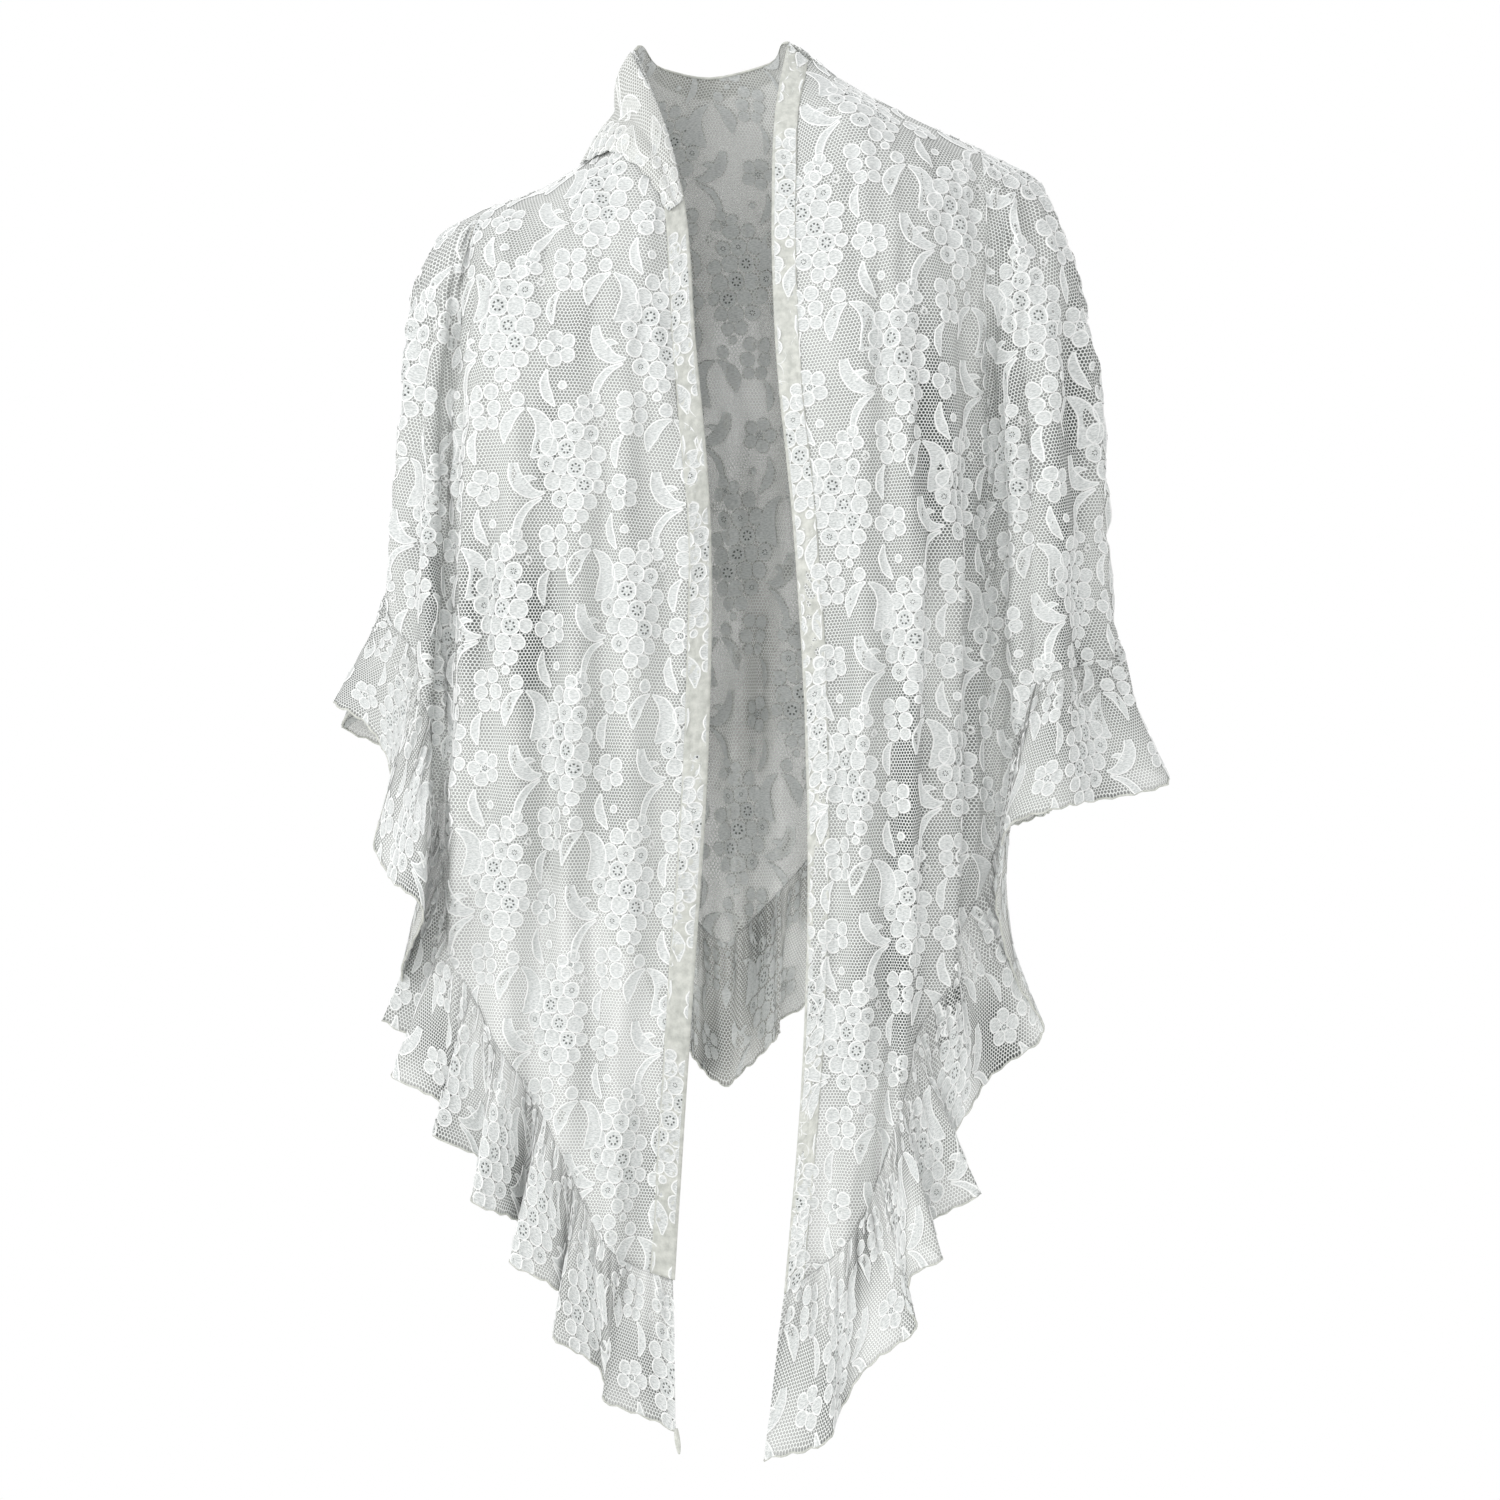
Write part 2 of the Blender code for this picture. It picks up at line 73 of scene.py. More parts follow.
leftRibs = {
    "frontEdge": [(-77, 2, 64), (-58, -36, 18), (-42, -80, -45), (-33, -106, -150), (-21, -114, -290),
                  (-22, -114, -430), (-38, -108, -690), (-48, -100, -850)],
    "frontIn": [(-95, 0, 2), (-84, -52, -8), (-76, -96, -62), (-76, -119, -150), (-72, -124, -290),
                (-72, -124, -430), (-82, -114, -690), (-92, -106, -830)],
    "frontOut": [(-140, 0, -36), (-134, -50, -44), (-132, -94, -88), (-134, -116, -150), (-134, -122, -290),
                 (-134, -122, -430), (-140, -110, -620), (-144, -106, -728)],
    "frontRidge": [(-170, 0, -48), (-176, -44, -58), (-182, -82, -98), (-188, -100, -150), (-196, -104, -300),
                   (-200, -104, -430), (-206, -100, -560), (-206, -98, -622)],
    "frontFold": [(-179, 0, -51), (-192, -34, -64), (-202, -54, -100), (-206, -58, -150), (-210, -58, -300),
                  (-214, -60, -430), (-220, -68, -540)],
    "armFront": [(-186, -1, -54), (-200, -30, -66), (-216, -52, -100), (-224, -58, -150), (-230, -62, -300),
                 (-234, -68, -412)],
    "armFrontSide": [(-188.5, -1.5, -55), (-212, -18, -70), (-230, -32, -100), (-238, -38, -150),
                     (-246, -42, -290), (-251, -46, -372)],
    "armSide": [(-189, 0, -55), (-216, 0, -71), (-234, 0, -100), (-244, 0, -150), (-247, 0, -250),
                (-259, 0, -336)],
    "armBackSide": [(-188.5, 1.5, -55), (-212, 18, -70), (-229, 34, -100), (-236, 42, -150), (-242, 46, -290),
                    (-248, 50, -366)],
    "armBack": [(-186, 1, -54), (-200, 34, -68), (-208, 66, -104), (-210, 80, -150), (-214, 88, -300),
                (-216, 92, -400)],
    "backFold": [(-179, 0, -51), (-180, 40, -64), (-178, 82, -106), (-176, 100, -150), (-178, 110, -300),
                 (-180, 112, -428)],
    "backOut": [(-140, 0, -36), (-136, 46, -46), (-130, 96, -92), (-130, 114, -150), (-130, 122, -300),
                (-130, 126, -462)],
    "backIn": [(-95, 0, 2), (-88, 46, -8), (-82, 98, -72), (-80, 122, -150), (-80, 132, -320),
               (-80, 134, -518)],
    "neckSide": [(-77, 2, 64), (-70, 44, 36), (-62, 94, -44), (-54, 126, -150), (-50, 136, -340),
                 (-46, 138, -565)],
    "napeSide": [(-56, 50, 52), (-50, 78, 10), (-42, 110, -60), (-34, 128, -150), (-30, 138, -340),
                 (-26, 140, -592)],
}


def spline(points, knots, at):  # smooth curve through points, read at the places in at
    points, knots, at = np.asarray(points, float), np.asarray(knots, float), np.asarray(at, float)
    gaps = np.diff(knots)
    slopes = np.diff(points, axis=0) / gaps[:, None]
    tangents = np.empty_like(points)
    tangents[0], tangents[-1] = slopes[0], slopes[-1]
    share = (gaps[:-1] / (gaps[:-1] + gaps[1:]))[:, None]
    tangents[1:-1] = slopes[:-1] * (1 - share) + slopes[1:] * share
    i = np.clip(np.searchsorted(knots, at, side="right") - 1, 0, len(gaps) - 1)
    h = gaps[i][:, None]
    f = ((at - knots[i]) / gaps[i])[:, None]
    return (points[i] * (1 + 2 * f) * (1 - f) ** 2 + tangents[i] * h * f * (1 - f) ** 2
            + points[i + 1] * f * f * (3 - 2 * f) - tangents[i + 1] * h * f * f * (1 - f))


def smooth(value, low, high):
    f = np.clip((value - low) / (high - low), 0, 1)
    return f * f * (3 - 2 * f)


def lengthAlong(points):
    return np.concatenate([[0], np.cumsum(np.linalg.norm(np.diff(points, axis=0), axis=1))])


def waves(a, b, seed, count=14, low=0.5, high=1.6):  # smooth seeded unevenness, about -1 to 1
    made = np.random.default_rng(seed)
    total = np.zeros(np.broadcast(a, b).shape)
    for _ in range(count):
        angle, pitch, phase = made.uniform(0, math.tau), made.uniform(low, high), made.uniform(0, math.tau)
        total += np.sin(math.tau * (a * math.cos(angle) + b * math.sin(angle)) * pitch + phase)
    return total / math.sqrt(count / 2) / 1.6


# the cloth of the body: one sheet from the left front edge, over arm, back and arm, to the right front edge
bodyCloth = {"rows": 132, "step": 5.6, "crowding": 1.4, "thickness": 0.8,
             "foldPitch": 52.0, "foldDepth": 6.5, "foldStarts": 0.15, "foldFull": 0.55,
             "crinkle": 2.3, "crinkleWidth": 26.0, "crinkleLength": 95.0,
             "pucker": 2.4, "puckerPitch": 13.0, "puckerReach": 16.0,
             "calmEdge": (4, 40), "calmRidge": (18, 60)}

ribNames = ["left" + n for n in leftRibs] + ["middle"] + ["right" + n for n in list(rightRibs)[::-1]]
ribs = list(leftRibs.values()) + [middleBack] + list(rightRibs.values())[::-1]


def onRib(rib, down):
    rib = np.array(rib, float)
    knots = lengthAlong(rib)
    fine = spline(rib, knots, np.linspace(0, knots[-1], 160))
    lengths = lengthAlong(fine)
    return np.stack([np.interp(down * lengths[-1], lengths, fine[:, k]) for k in range(3)], axis=1)


ribKnots = lengthAlong(np.array([onRib(r, np.array([0.55]))[0] for r in ribs]))


def ribAt(name):
    return ribKnots[ribNames.index(name)]


def gridNormals(points):  # outward for this grid, rows down by columns round
    n = np.cross(np.gradient(points, axis=1), np.gradient(points, axis=0))
    return n / np.maximum(np.linalg.norm(n, axis=2), 1e-9)[..., None]


def makeBodyGrid():
    cloth = bodyCloth
    down = np.linspace(0, 1, cloth["rows"] + 1) ** cloth["crowding"]
    columns = []
    for low, high in zip(ribKnots, ribKnots[1:]):  # every rib is a column
        parts = max(2, round((high - low) / cloth["step"]))
        columns += list(low + (high - low) * np.arange(parts) / parts)
    around = np.array(columns + [ribKnots[-1]])
    onRibs = np.array([onRib(r, down) for r in ribs])
    points = np.array([spline(onRibs[:, j], ribKnots, around) for j in range(len(down))])
    top = points[0].copy()
    normals = gridNormals(points)
    a, d = np.meshgrid(around, down)
    # soft hanging folds, flat at the front edges and where the front turns under the arm
    edge = smooth(a, *cloth["calmEdge"]) * smooth(ribKnots[-1] - a, *cloth["calmEdge"])
    for name in ("leftfrontFold", "rightfrontFold"):
        edge = edge * smooth(np.abs(a - ribAt(name)), *cloth["calmRidge"])
    folds = np.sin(math.tau * a / cloth["foldPitch"] + 1.1 * np.sin(a / 90))
    stand = smooth(d, cloth["foldStarts"], cloth["foldFull"]) * cloth["foldDepth"] * edge * folds
    # unpressed lace: small crinkles that run down, and puckers above the gathered seam
    size = np.linalg.norm(points[-1] - points[0], axis=1).mean() * d
    calm = smooth(d, 0.02, 0.14) * (0.35 + 0.65 * smooth(a, 2, 30) * smooth(ribKnots[-1] - a, 2, 30))
    wide, long = a / cloth["crinkleWidth"], size / cloth["crinkleLength"]
    stand = stand + calm * cloth["crinkle"] * (waves(wide, long, 3) + 0.5 * waves(a / 13, size / 40, 5))
    lengthDown = np.array([lengthAlong(points[:, c]) for c in range(len(around))]).T
    toSeam = lengthDown[-1] - lengthDown
    pucker = np.exp(-toSeam / cloth["puckerReach"]) * smooth(toSeam, -1, 5)
    stand = stand + pucker * cloth["pucker"] * waves(a / cloth["puckerPitch"], toSeam / 60, 8)
    points = points + normals * stand[..., None]
    points[0] = top
    return points, around, down


bodyPoints, bodyAround, bodyDown = makeBodyGrid()
bodyNormals = gridNormals(bodyPoints)
print("body grid", bodyPoints.shape)


def gridFaces(rows, columns, start=0):
    r, c = np.meshgrid(np.arange(rows - 1), np.arange(columns - 1), indexing="ij")
    a = start + r * columns + c
    return np.stack([a, a + 1, a + columns + 1, a + columns], axis=-1).reshape(-1, 4)


def newMesh(name, vertices, faces, uvs, paint=None):
    # uvs: the place on the flat cloth of each corner of each face, in metres
    mesh = bpy.data.meshes.new(name)
    mesh.from_pydata(np.asarray(vertices).tolist(), [], [list(map(int, f)) for f in faces])
    mesh.uv_layers.new(name="flatCloth").data.foreach_set("uv", np.asarray(uvs, float).ravel())
    if paint is not None:  # painted shade for the net's holes at each vertex, 0 light to 1 dark
        shadeMask = mesh.attributes.new("holeShade", "FLOAT", "POINT")
        shadeMask.data.foreach_set("value", np.asarray(paint, float).ravel())
    mesh.shade_smooth()
    made = bpy.data.objects.new(name, mesh)
    bpy.context.scene.collection.objects.link(made)
    return made


def only(obj):  # select and activate this one object
    bpy.ops.object.select_all(action="DESELECT")
    obj.select_set(True)
    bpy.context.view_layer.objects.active = obj


def flatten(points, around):  # lays a stretch of the worn sheet out flat, in mm, its grain straight down
    rows, columns = points.shape[:2]
    pick = [sorted({*range(0, n, k), n - 1}) for n, k in ((rows, 3), (columns, 2))]
    coarse = points[np.ix_(*pick)]
    sheet = newMesh("layout", coarse.reshape(-1, 3) * mm, gridFaces(*coarse.shape[:2]),
                    np.zeros((4 * (len(pick[0]) - 1) * (len(pick[1]) - 1), 2)))
    only(sheet)
    bpy.ops.object.mode_set(mode="EDIT")
    bpy.ops.mesh.select_all(action="SELECT")
    bpy.ops.uv.unwrap(method="ANGLE_BASED", margin=0)
    bpy.ops.object.mode_set(mode="OBJECT")
    mesh = sheet.data
    corner, uv = np.empty(len(mesh.loops), dtype=np.int32), np.empty(len(mesh.loops) * 2)
    mesh.loops.foreach_get("vertex_index", corner)
    mesh.uv_layers[0].data.foreach_get("uv", uv)
    flat = np.zeros((coarse.size // 3, 2))
    flat[corner] = uv.reshape(-1, 2)
    bpy.data.objects.remove(sheet)
    flat = flat.reshape(*coarse.shape[:2], 2)

    def area(grid):
        grid = grid if grid.shape[2] == 3 else np.concatenate([grid, grid[..., :1] * 0], axis=2)
        one = np.cross(grid[1:, :-1] - grid[:-1, :-1], grid[:-1, 1:] - grid[:-1, :-1])
        two = np.cross(grid[1:, :-1] - grid[1:, 1:], grid[:-1, 1:] - grid[1:, 1:])
        return (np.linalg.norm(one, axis=2) + np.linalg.norm(two, axis=2)).sum() / 2

    flat *= math.sqrt(area(coarse) / area(flat))
    across = np.array([[np.interp(np.arange(columns), pick[1], row[:, k]) for k in (0, 1)] for row in flat])
    fine = np.array([[np.interp(np.arange(rows), pick[0], across[:, k, j]) for k in (0, 1)]
                     for j in range(columns)]).transpose(2, 0, 1)
    # turned to lie as it hangs, judged on the part below the shoulders
    lower = bodyDown > 0.2
    have = fine[lower].reshape(-1, 2)
    want = np.stack([np.broadcast_to(-around, points.shape[:2]), -points[..., 2]], axis=2)
    want = want[lower].reshape(-1, 2)
    u, _, vt = np.linalg.svd((have - have.mean(0)).T @ (want - want.mean(0)))
    return (fine - have.mean(0)) @ (u @ vt) + want.mean(0)


stretches = {}  # the five stretches of the body, each with its own flat layout
turns = ["leftfrontEdge", "leftfrontFold", "leftbackFold",
         "rightbackFold", "rightfrontFold", "rightfrontEdge"]
turnColumns = [int(np.argmin(np.abs(bodyAround - ribAt(n)))) for n in turns]
stretchNames = ("frontLeft", "armLeft", "back", "armRight", "frontRight")
for name, low, high in zip(stretchNames, turnColumns, turnColumns[1:]):
    flat = flatten(bodyPoints[:, low:high + 1], bodyAround[low:high + 1])
    stretches[name] = {"columns": (low, high), "flat": flat}
    print(name, "columns", low, high, "flat", flat.min((0, 1)).round(), flat.max((0, 1)).round())


# the ruffle: one strip gathered along the whole seam. It falls in folds that lap over each other like
# shingles, those nearer a front tip on top. Both sides are listed from their front tip to the middle back.
ruffleCloth = {
    "rows": 26, "step": 3.0, "cutWidth": 105.0, "thickness": 0.7,
    "gather": 3.0, "gatherPitch": 11.0, "gatherPeak": 0.1, "gatherReach": 0.34,
    "scallop": 16.0, "scallopDepth": 2.4, "wayRounding": 90, "facingRounding": 120, "hangRounding": 12,
    # each fold's start, the depth there, and how far the fold reaches on
    "leftFolds": [(0, 4, 14), (68, 14, 18), (132, 15, 20), (198, 15, 18), (260, 14, 16), (308, 13, 15),
                  (360, 13, 12), (402, 14, 22), (545, 12, 12), (655, 12, 10), (720, 13, 14), (782, 14, 14),
                  (845, 14, 14), (905, 14, 14), (965, 14, 14), (1020, 12, 12), (1080, 8, 0)],
    "rightFolds": [(0, 6, 10), (60, 14, 20), (154, 10, 10), (188, 14, 16), (252, 17, 26), (418, 6, 4),
                   (500, 8, 10), (705, 12, 12), (765, 13, 14), (825, 14, 14), (885, 14, 14), (945, 14, 14),
                   (1000, 12, 12), (1050, 10, 10), (1090, 8, 0)],
    # place, lean away from the tip for each unit down, how far the hem stands out, how far it drops
    "leftHang": [(0, -.02, 6, 112), (40, .02, 8, 100), (100, 0, 8, 100), (170, .03, 8, 102),
                 (235, .02, 8, 106), (280, .03, 10, 100), (320, .1, 14, 98), (360, .25, 24, 98),
                 (395, .44, 34, 100), (430, .34, 36, 102), (470, .36, 42, 106), (505, .44, 46, 110),
                 (530, .2, 44, 104), (555, 0, 36, 84), (590, 0, 26, 60), (640, 0, 30, 72),
                 (690, 0, 28, 90), (760, .05, 20, 100), (900, .08, 16, 106), (1090, 0, 14, 106)],
    "rightHang": [(0, -.13, 6, 122), (30, -.04, 8, 132), (55, 0, 8, 116), (75, .05, 8, 104),
                  (113, .08, 8, 104), (170, .14, 8, 106), (220, .2, 8, 106), (290, .14, 8, 98),
                  (345, .24, 12, 94), (400, .14, 14, 98), (450, -.02, 10, 104), (500, -.2, 6, 108),
                  (530, -.2, 6, 106), (580, -.08, 18, 98), (636, 0, 36, 88), (690, 0, 32, 92),
                  (760, .05, 22, 100), (900, .08, 16, 106), (1090, 0, 14, 106)]}
# one lapped fold seen from below: share of its length along the seam, reach outwards as a share of the
# fold's own reach, and depth from -1 behind to 1 in front
lappedFold = np.array([(0.0, 0.0, -1.0), (0.14, -0.1, -0.85), (0.30, 0.1, -0.2), (0.46, 0.62, 0.6),
                       (0.56, 1.0, 1.0), (0.64, 0.96, 0.72), (0.76, 0.5, -0.05), (0.88, 0.1, -0.8),
                       (1.0, 0.0, -1.0)])


def blurred(values, steps):
    for _ in range(steps):
        values[1:-1] = (values[:-2] + 2 * values[1:-1] + values[2:]) / 4
    return values / np.linalg.norm(values, axis=1)[:, None]


def readRow(row, lengths, at):
    return np.stack([np.interp(at, lengths, row[:, k]) for k in range(row.shape[1])], axis=1)


def foldsAlong(fromTip, folds):
    # for each place along the seam: how far the hem is carried outwards, and how far it stands in or out
    reach, depth = np.zeros(len(fromTip)), np.zeros(len(fromTip))
    for (start, deep, far), (end, deepNext, _) in zip(folds, folds[1:]):
        here = (fromTip >= start) & (fromTip <= end)
        share = (fromTip[here] - start) / (end - start)
        across = spline(lappedFold[:, 1:], lappedFold[:, 0], share)
        reach[here] = across[:, 0] * far
        depth[here] = across[:, 1] * (deep + (deepNext - deep) * share)
    return reach, depth


def flatStrip(along, down):  # flat place of each point of a straight strip
    return np.stack(np.broadcast_arrays(along[None, :], down[:, None]), axis=2)


def makeRuffleGrid():
    cloth = ruffleCloth
    seam, facing = bodyPoints[-1], bodyNormals[-1]
    lengths = lengthAlong(seam)
    at = np.linspace(0, lengths[-1], round(lengths[-1] / cloth["step"]) + 1)
    line = readRow(seam, lengths, at)
    even = np.arange(0, lengths[-1], 4.0)
    coarse = readRow(seam, lengths, even)
    ways = readRow(blurred(np.gradient(coarse, axis=0), cloth["wayRounding"]), even, at) * (1, 1, 0)
    ways /= np.linalg.norm(ways, axis=1)[:, None]
    out = readRow(blurred(readRow(facing, lengths, even) * (1, 1, 0), cloth["facingRounding"]), even, at)
    middle = lengths[int(np.argmin(np.abs(bodyAround - ribAt("middle"))))]
    onLeft = at <= middle
    fromTip = np.where(onLeft, at, lengths[-1] - at)
    sides = []
    for side in ("left", "right"):
        table = np.array(cloth[side + "Hang"])
        hang = [np.interp(fromTip, table[:, 0], table[:, k]) for k in (1, 2, 3)]
        for h in hang:  # round the table's corners
            for _ in range(cloth["hangRounding"]):
                h[1:-1] = (h[:-2] + 2 * h[1:-1] + h[2:]) / 4
        sides.append([*foldsAlong(fromTip, cloth[side + "Folds"]), *hang])
    reach, depth, lean, stand, drop = (np.where(onLeft, a, b)[:, None] for a, b in zip(*sides))
    outward = np.where(onLeft, 1, -1)[:, None] * ways
    rows = []
    for v in np.linspace(0, 1, cloth["rows"] + 1):
        spread = v ** 0.9
        gather = cloth["gather"] * math.exp(-((v - cloth["gatherPeak"]) / cloth["gatherReach"]) ** 2)
        gather *= min(1, v / 0.05)  # none on the seam itself
        small = gather * np.sin(math.tau * at / cloth["gatherPitch"] + 2.2 * np.sin(at / 31))[:, None]
        small = small + 0.9 * v * waves(at / 30, np.full_like(at, v * 2.2), 11)[:, None]
        rows.append(line + np.array([0, 0, -1.0]) * v * drop + out * (v * stand + small + depth * spread)
                    + outward * (reach * spread + lean * v * drop))
    grid = np.array(rows)
    hem = lengthAlong(grid[-1])
    below = (grid[-1] - grid[-2]) / np.linalg.norm(grid[-1] - grid[-2], axis=1)[:, None]
    grid[-1] += below * (cloth["scallopDepth"] * np.abs(np.sin(math.pi * hem / cloth["scallop"])))[:, None]
    flat = flatStrip(hem, np.linspace(0, cloth["cutWidth"], len(rows)))
    normals = gridNormals(grid)
    normals *= np.sign((normals[2] * out).sum(1).mean())
    return grid, normals, flat, at


rufflePoints, ruffleNormals, ruffleFlat, ruffleAlong = makeRuffleGrid()
print("ruffle", rufflePoints.shape, "seam", round(ruffleAlong[-1]), "hem", round(ruffleFlat[-1, -1, 0]))


def solidify(obj, thickness):
    only(obj)
    shell = obj.modifiers.new("thickness", "SOLIDIFY")
    shell.thickness, shell.offset, shell.material_offset = thickness * mm, -1, 1
    bpy.ops.object.modifier_apply(modifier=shell.name)


def clothSheet(name, points, faces, uvs, thickness, paint=None):
    made = newMesh(name, points.reshape(-1, 3) * mm, faces, uvs * mm, paint)
    for side in ("right side", "wrong side"):
        made.data.materials.append(bpy.data.materials.get(side) or bpy.data.materials.new(side))
    solidify(made, thickness)
    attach(made, "root")
    return made


def cornerUvs(flat):
    return np.stack([flat[:-1, :-1], flat[:-1, 1:], flat[1:, 1:], flat[1:, :-1]], axis=2).reshape(-1, 2)


bodyFaces, bodyUvs = [], []
allFaces = gridFaces(*bodyPoints.shape[:2]).reshape(len(bodyDown) - 1, len(bodyAround) - 1, 4)
for s in stretches.values():
    low, high = s["columns"]
    bodyFaces.append(allFaces[:, low:high].reshape(-1, 4))
    bodyUvs.append(cornerUvs(s["flat"]))
# painted shade in the net's holes: dark spots where a single layer hangs free of everything behind it and
# deep shade shows through:
# x, z, reach across, reach down, share
paintedShadeSpots = [(-142, -240, 12, 45, .8), (-150, -372, 22, 55, 1), (-196, -350, 14, 60, .8),
           (-228, -330, 9, 120, .7), (-62, -770, 18, 50, .6), (-120, -150, 14, 40, .4),
           (146, -225, 16, 90, .8), (122, -540, 15, 130, 1), (245, -270, 14, 130, .8),
           (196, -180, 12, 80, .5), (176, -420, 10, 90, .5), (90, -640, 12, 60, .4)]
bodyX, bodyY, bodyZ = bodyPoints.transpose(2, 0, 1)
# painted shade in the holes, heavier towards the right side, with random patches
bodyHoleShade = 0.14 + 0.22 * smooth(bodyX, 20, 130) + 0.22 * waves(bodyX / 45, bodyZ / 190, 21)
for x, z, across, downBy, share in paintedShadeSpots:
    spot = np.exp(-((bodyX - x) / across) ** 2 - ((bodyZ - z) / downBy) ** 2)
    bodyHoleShade = bodyHoleShade + share * spot * (bodyY < 20)  # the fronts and the front half of the arms
bodyHoleShade = np.clip(bodyHoleShade, 0, 1)
# painted shade in the ruffle's holes, in random patches
ruffleHoleShade = 0.42 + 0.4 * waves(ruffleFlat[..., 0] / 90, ruffleFlat[..., 1] / 150, 23)
ruffleHoleShade = np.clip(ruffleHoleShade, 0, 1)
bodyNet = clothSheet("body_net", bodyPoints, np.concatenate(bodyFaces), np.concatenate(bodyUvs),
                     bodyCloth["thickness"], bodyHoleShade)
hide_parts("front_left", "arm_left", "back", "arm_right", "front_right")
ruffleNet = clothSheet("ruffle_net", rufflePoints, gridFaces(*rufflePoints.shape[:2]), cornerUvs(ruffleFlat),
                       ruffleCloth["thickness"], ruffleHoleShade)
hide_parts("ruffle_front_left", "ruffle_arm_left", "ruffle_back", "ruffle_arm_right",
            "ruffle_front_right")
print("net made")


# flowers, leaves and cords of the lace, drawn flat in mm and then laid on the worn cloth
lace = {"repeat": 205.0, "columnGap": 57.0, "lift": 0.4, "behind": 1.2,
        "cordHeight": 0.75, "cordWidth": 1.15, "fillHeight": 0.25}
fillPart, cordPart, openPart = 0, 1, 2  # material slots of the worked lace


class Drawing:  # flat points, their heights over the net, and faces, gathered as shapes are added
    def __init__(self):
        self.points, self.heights, self.faces, self.parts, self.count = [], [], [], [], 0

    def add(self, points, heights, faces, parts):
        self.points.append(np.asarray(points, float))
        self.heights.append(np.asarray(heights, float))
        self.faces += [[self.count + i for i in f] for f in faces]
        self.parts += list(parts)
        self.count += len(points)


def petalCluster(circles, segments=14, eyes=()):
    # round petals that meet: each reaches out to its own circle, or to the line it shares with a neighbour
    made = Drawing()
    angles = np.arange(segments) / segments * math.tau
    for i, (cx, cy, r) in enumerate(circles):
        reach = np.full(segments, float(r)) * (1 + 0.035 * np.sin(3 * angles + i))
        shared = np.zeros(segments)
        for j, (ox, oy, other) in enumerate(circles):
            gap = math.hypot(ox - cx, oy - cy)
            if i == j or gap >= r + other:
                continue
            border = gap / 2 + (r * r - other * other) / (2 * gap)
            toward = np.cos(angles - math.atan2(oy - cy, ox - cx))
            limit = np.where(toward > 0.05, border / np.maximum(toward, 0.05), 1e9)
            shared = np.where(limit < reach, 1, shared)
            reach = np.minimum(reach, limit)
        ways = np.stack([np.cos(angles), np.sin(angles)], axis=1)
        middle = np.array([cx, cy])
        rings = [(0 * reach, shared * lace["cordHeight"]),
                 (np.where(shared > 0, 0.3, 0.5), lace["cordHeight"] * (1 - 0.2 * shared)),
                 (np.where(shared > 0, 0.6, lace["cordWidth"]), lace["fillHeight"] + 0 * reach)]
        eye = eyes[i] if i < len(eyes) else 0
        radii = [reach - inset for inset, _ in rings]
        levels = [h for _, h in rings]
        kinds = [cordPart, cordPart]
        if eye:
            rim = np.minimum(radii[-1] * 0.8, eye)
            radii += [rim, rim - min(1.5, eye * 0.5)]
            levels += [levels[-1] + 0.1, levels[-1] + 0.1]
            kinds += [fillPart, openPart]
        points = np.concatenate([middle + ways * rr[:, None] for rr in radii] + [middle[None, :]])
        heights = np.concatenate(levels + [np.array([lace["fillHeight"] + 0.2])])
        faces, parts = [], []
        for k, kind in enumerate(kinds):
            for a in range(segments):
                b = (a + 1) % segments
                here, after = k * segments, (k + 1) * segments
                faces.append([here + a, here + b, after + b, after + a])
                parts.append(fillPart if kind == openPart and a % 2 else kind)
        k = len(kinds)
        for a in range(segments):
            faces.append([k * segments + a, k * segments + (a + 1) % segments, (k + 1) * segments])
            parts.append(fillPart)
        made.add(points, heights, faces, parts)
    return made


def ribbonShape(path, widths):
    # a leaf or stem that follows a path, corded along both edges
    made = Drawing()
    path, widths = np.asarray(path, float), np.asarray(widths, float)
    knots = lengthAlong(path)
    count = max(5, round(knots[-1] / 4.2)) + 1
    at = np.linspace(0, knots[-1], count)
    line = spline(path, knots, at)
    half = np.interp(at, knots, widths) / 2
    way = np.gradient(line, axis=0)
    way /= np.linalg.norm(way, axis=1)[:, None]
    side = np.stack([-way[:, 1], way[:, 0]], axis=1)
    cord = np.minimum(lace["cordWidth"], half)
    offsets = [-half, -half + cord * 0.45, -half + cord, half - cord, half - cord * 0.45, half]
    levels = [0, lace["cordHeight"], lace["fillHeight"], lace["fillHeight"], lace["cordHeight"], 0]
    points = np.concatenate([line + side * o[:, None] for o in offsets])
    heights = np.repeat(levels, count)
    faces, parts = [], []
    for k in range(5):
        for a in range(count - 1):
            faces.append([k * count + a, k * count + a + 1, (k + 1) * count + a + 1, (k + 1) * count + a])
            parts.append(fillPart if k == 2 else cordPart)
    made.add(points, heights, faces, parts)
    return made


def bouquet():
    circles = [(-6.5, -38, 6.5), (6, -37, 6.8),
               (-12, -26, 7), (1, -25, 7.4), (13, -24, 6.8),
               (-18, -13, 7.4), (-5, -12, 7.6), (8, -12, 7.6), (20, -9, 6.6),
               (-20, 0, 7), (-9, 1, 7.4), (3, 2, 7.8), (16, 3, 7.6),
               (-15, 13, 7.2), (-3, 14, 7.6), (10, 15, 7.6), (21, 15, 5.6),
               (-9, 26, 7), (4, 27, 7.2), (15, 27, 6.2),
               (0, 38, 6), (10, 38, 5.6)]
    eyes = [0, 0, 0, 1.9, 2.2, 0, 3.9, 0, 0, 2.2, 0, 3.9, 0, 0, 0, 3.9, 0, 2.2, 0, 0, 0, 0]
    return petalCluster(circles, 14, eyes)


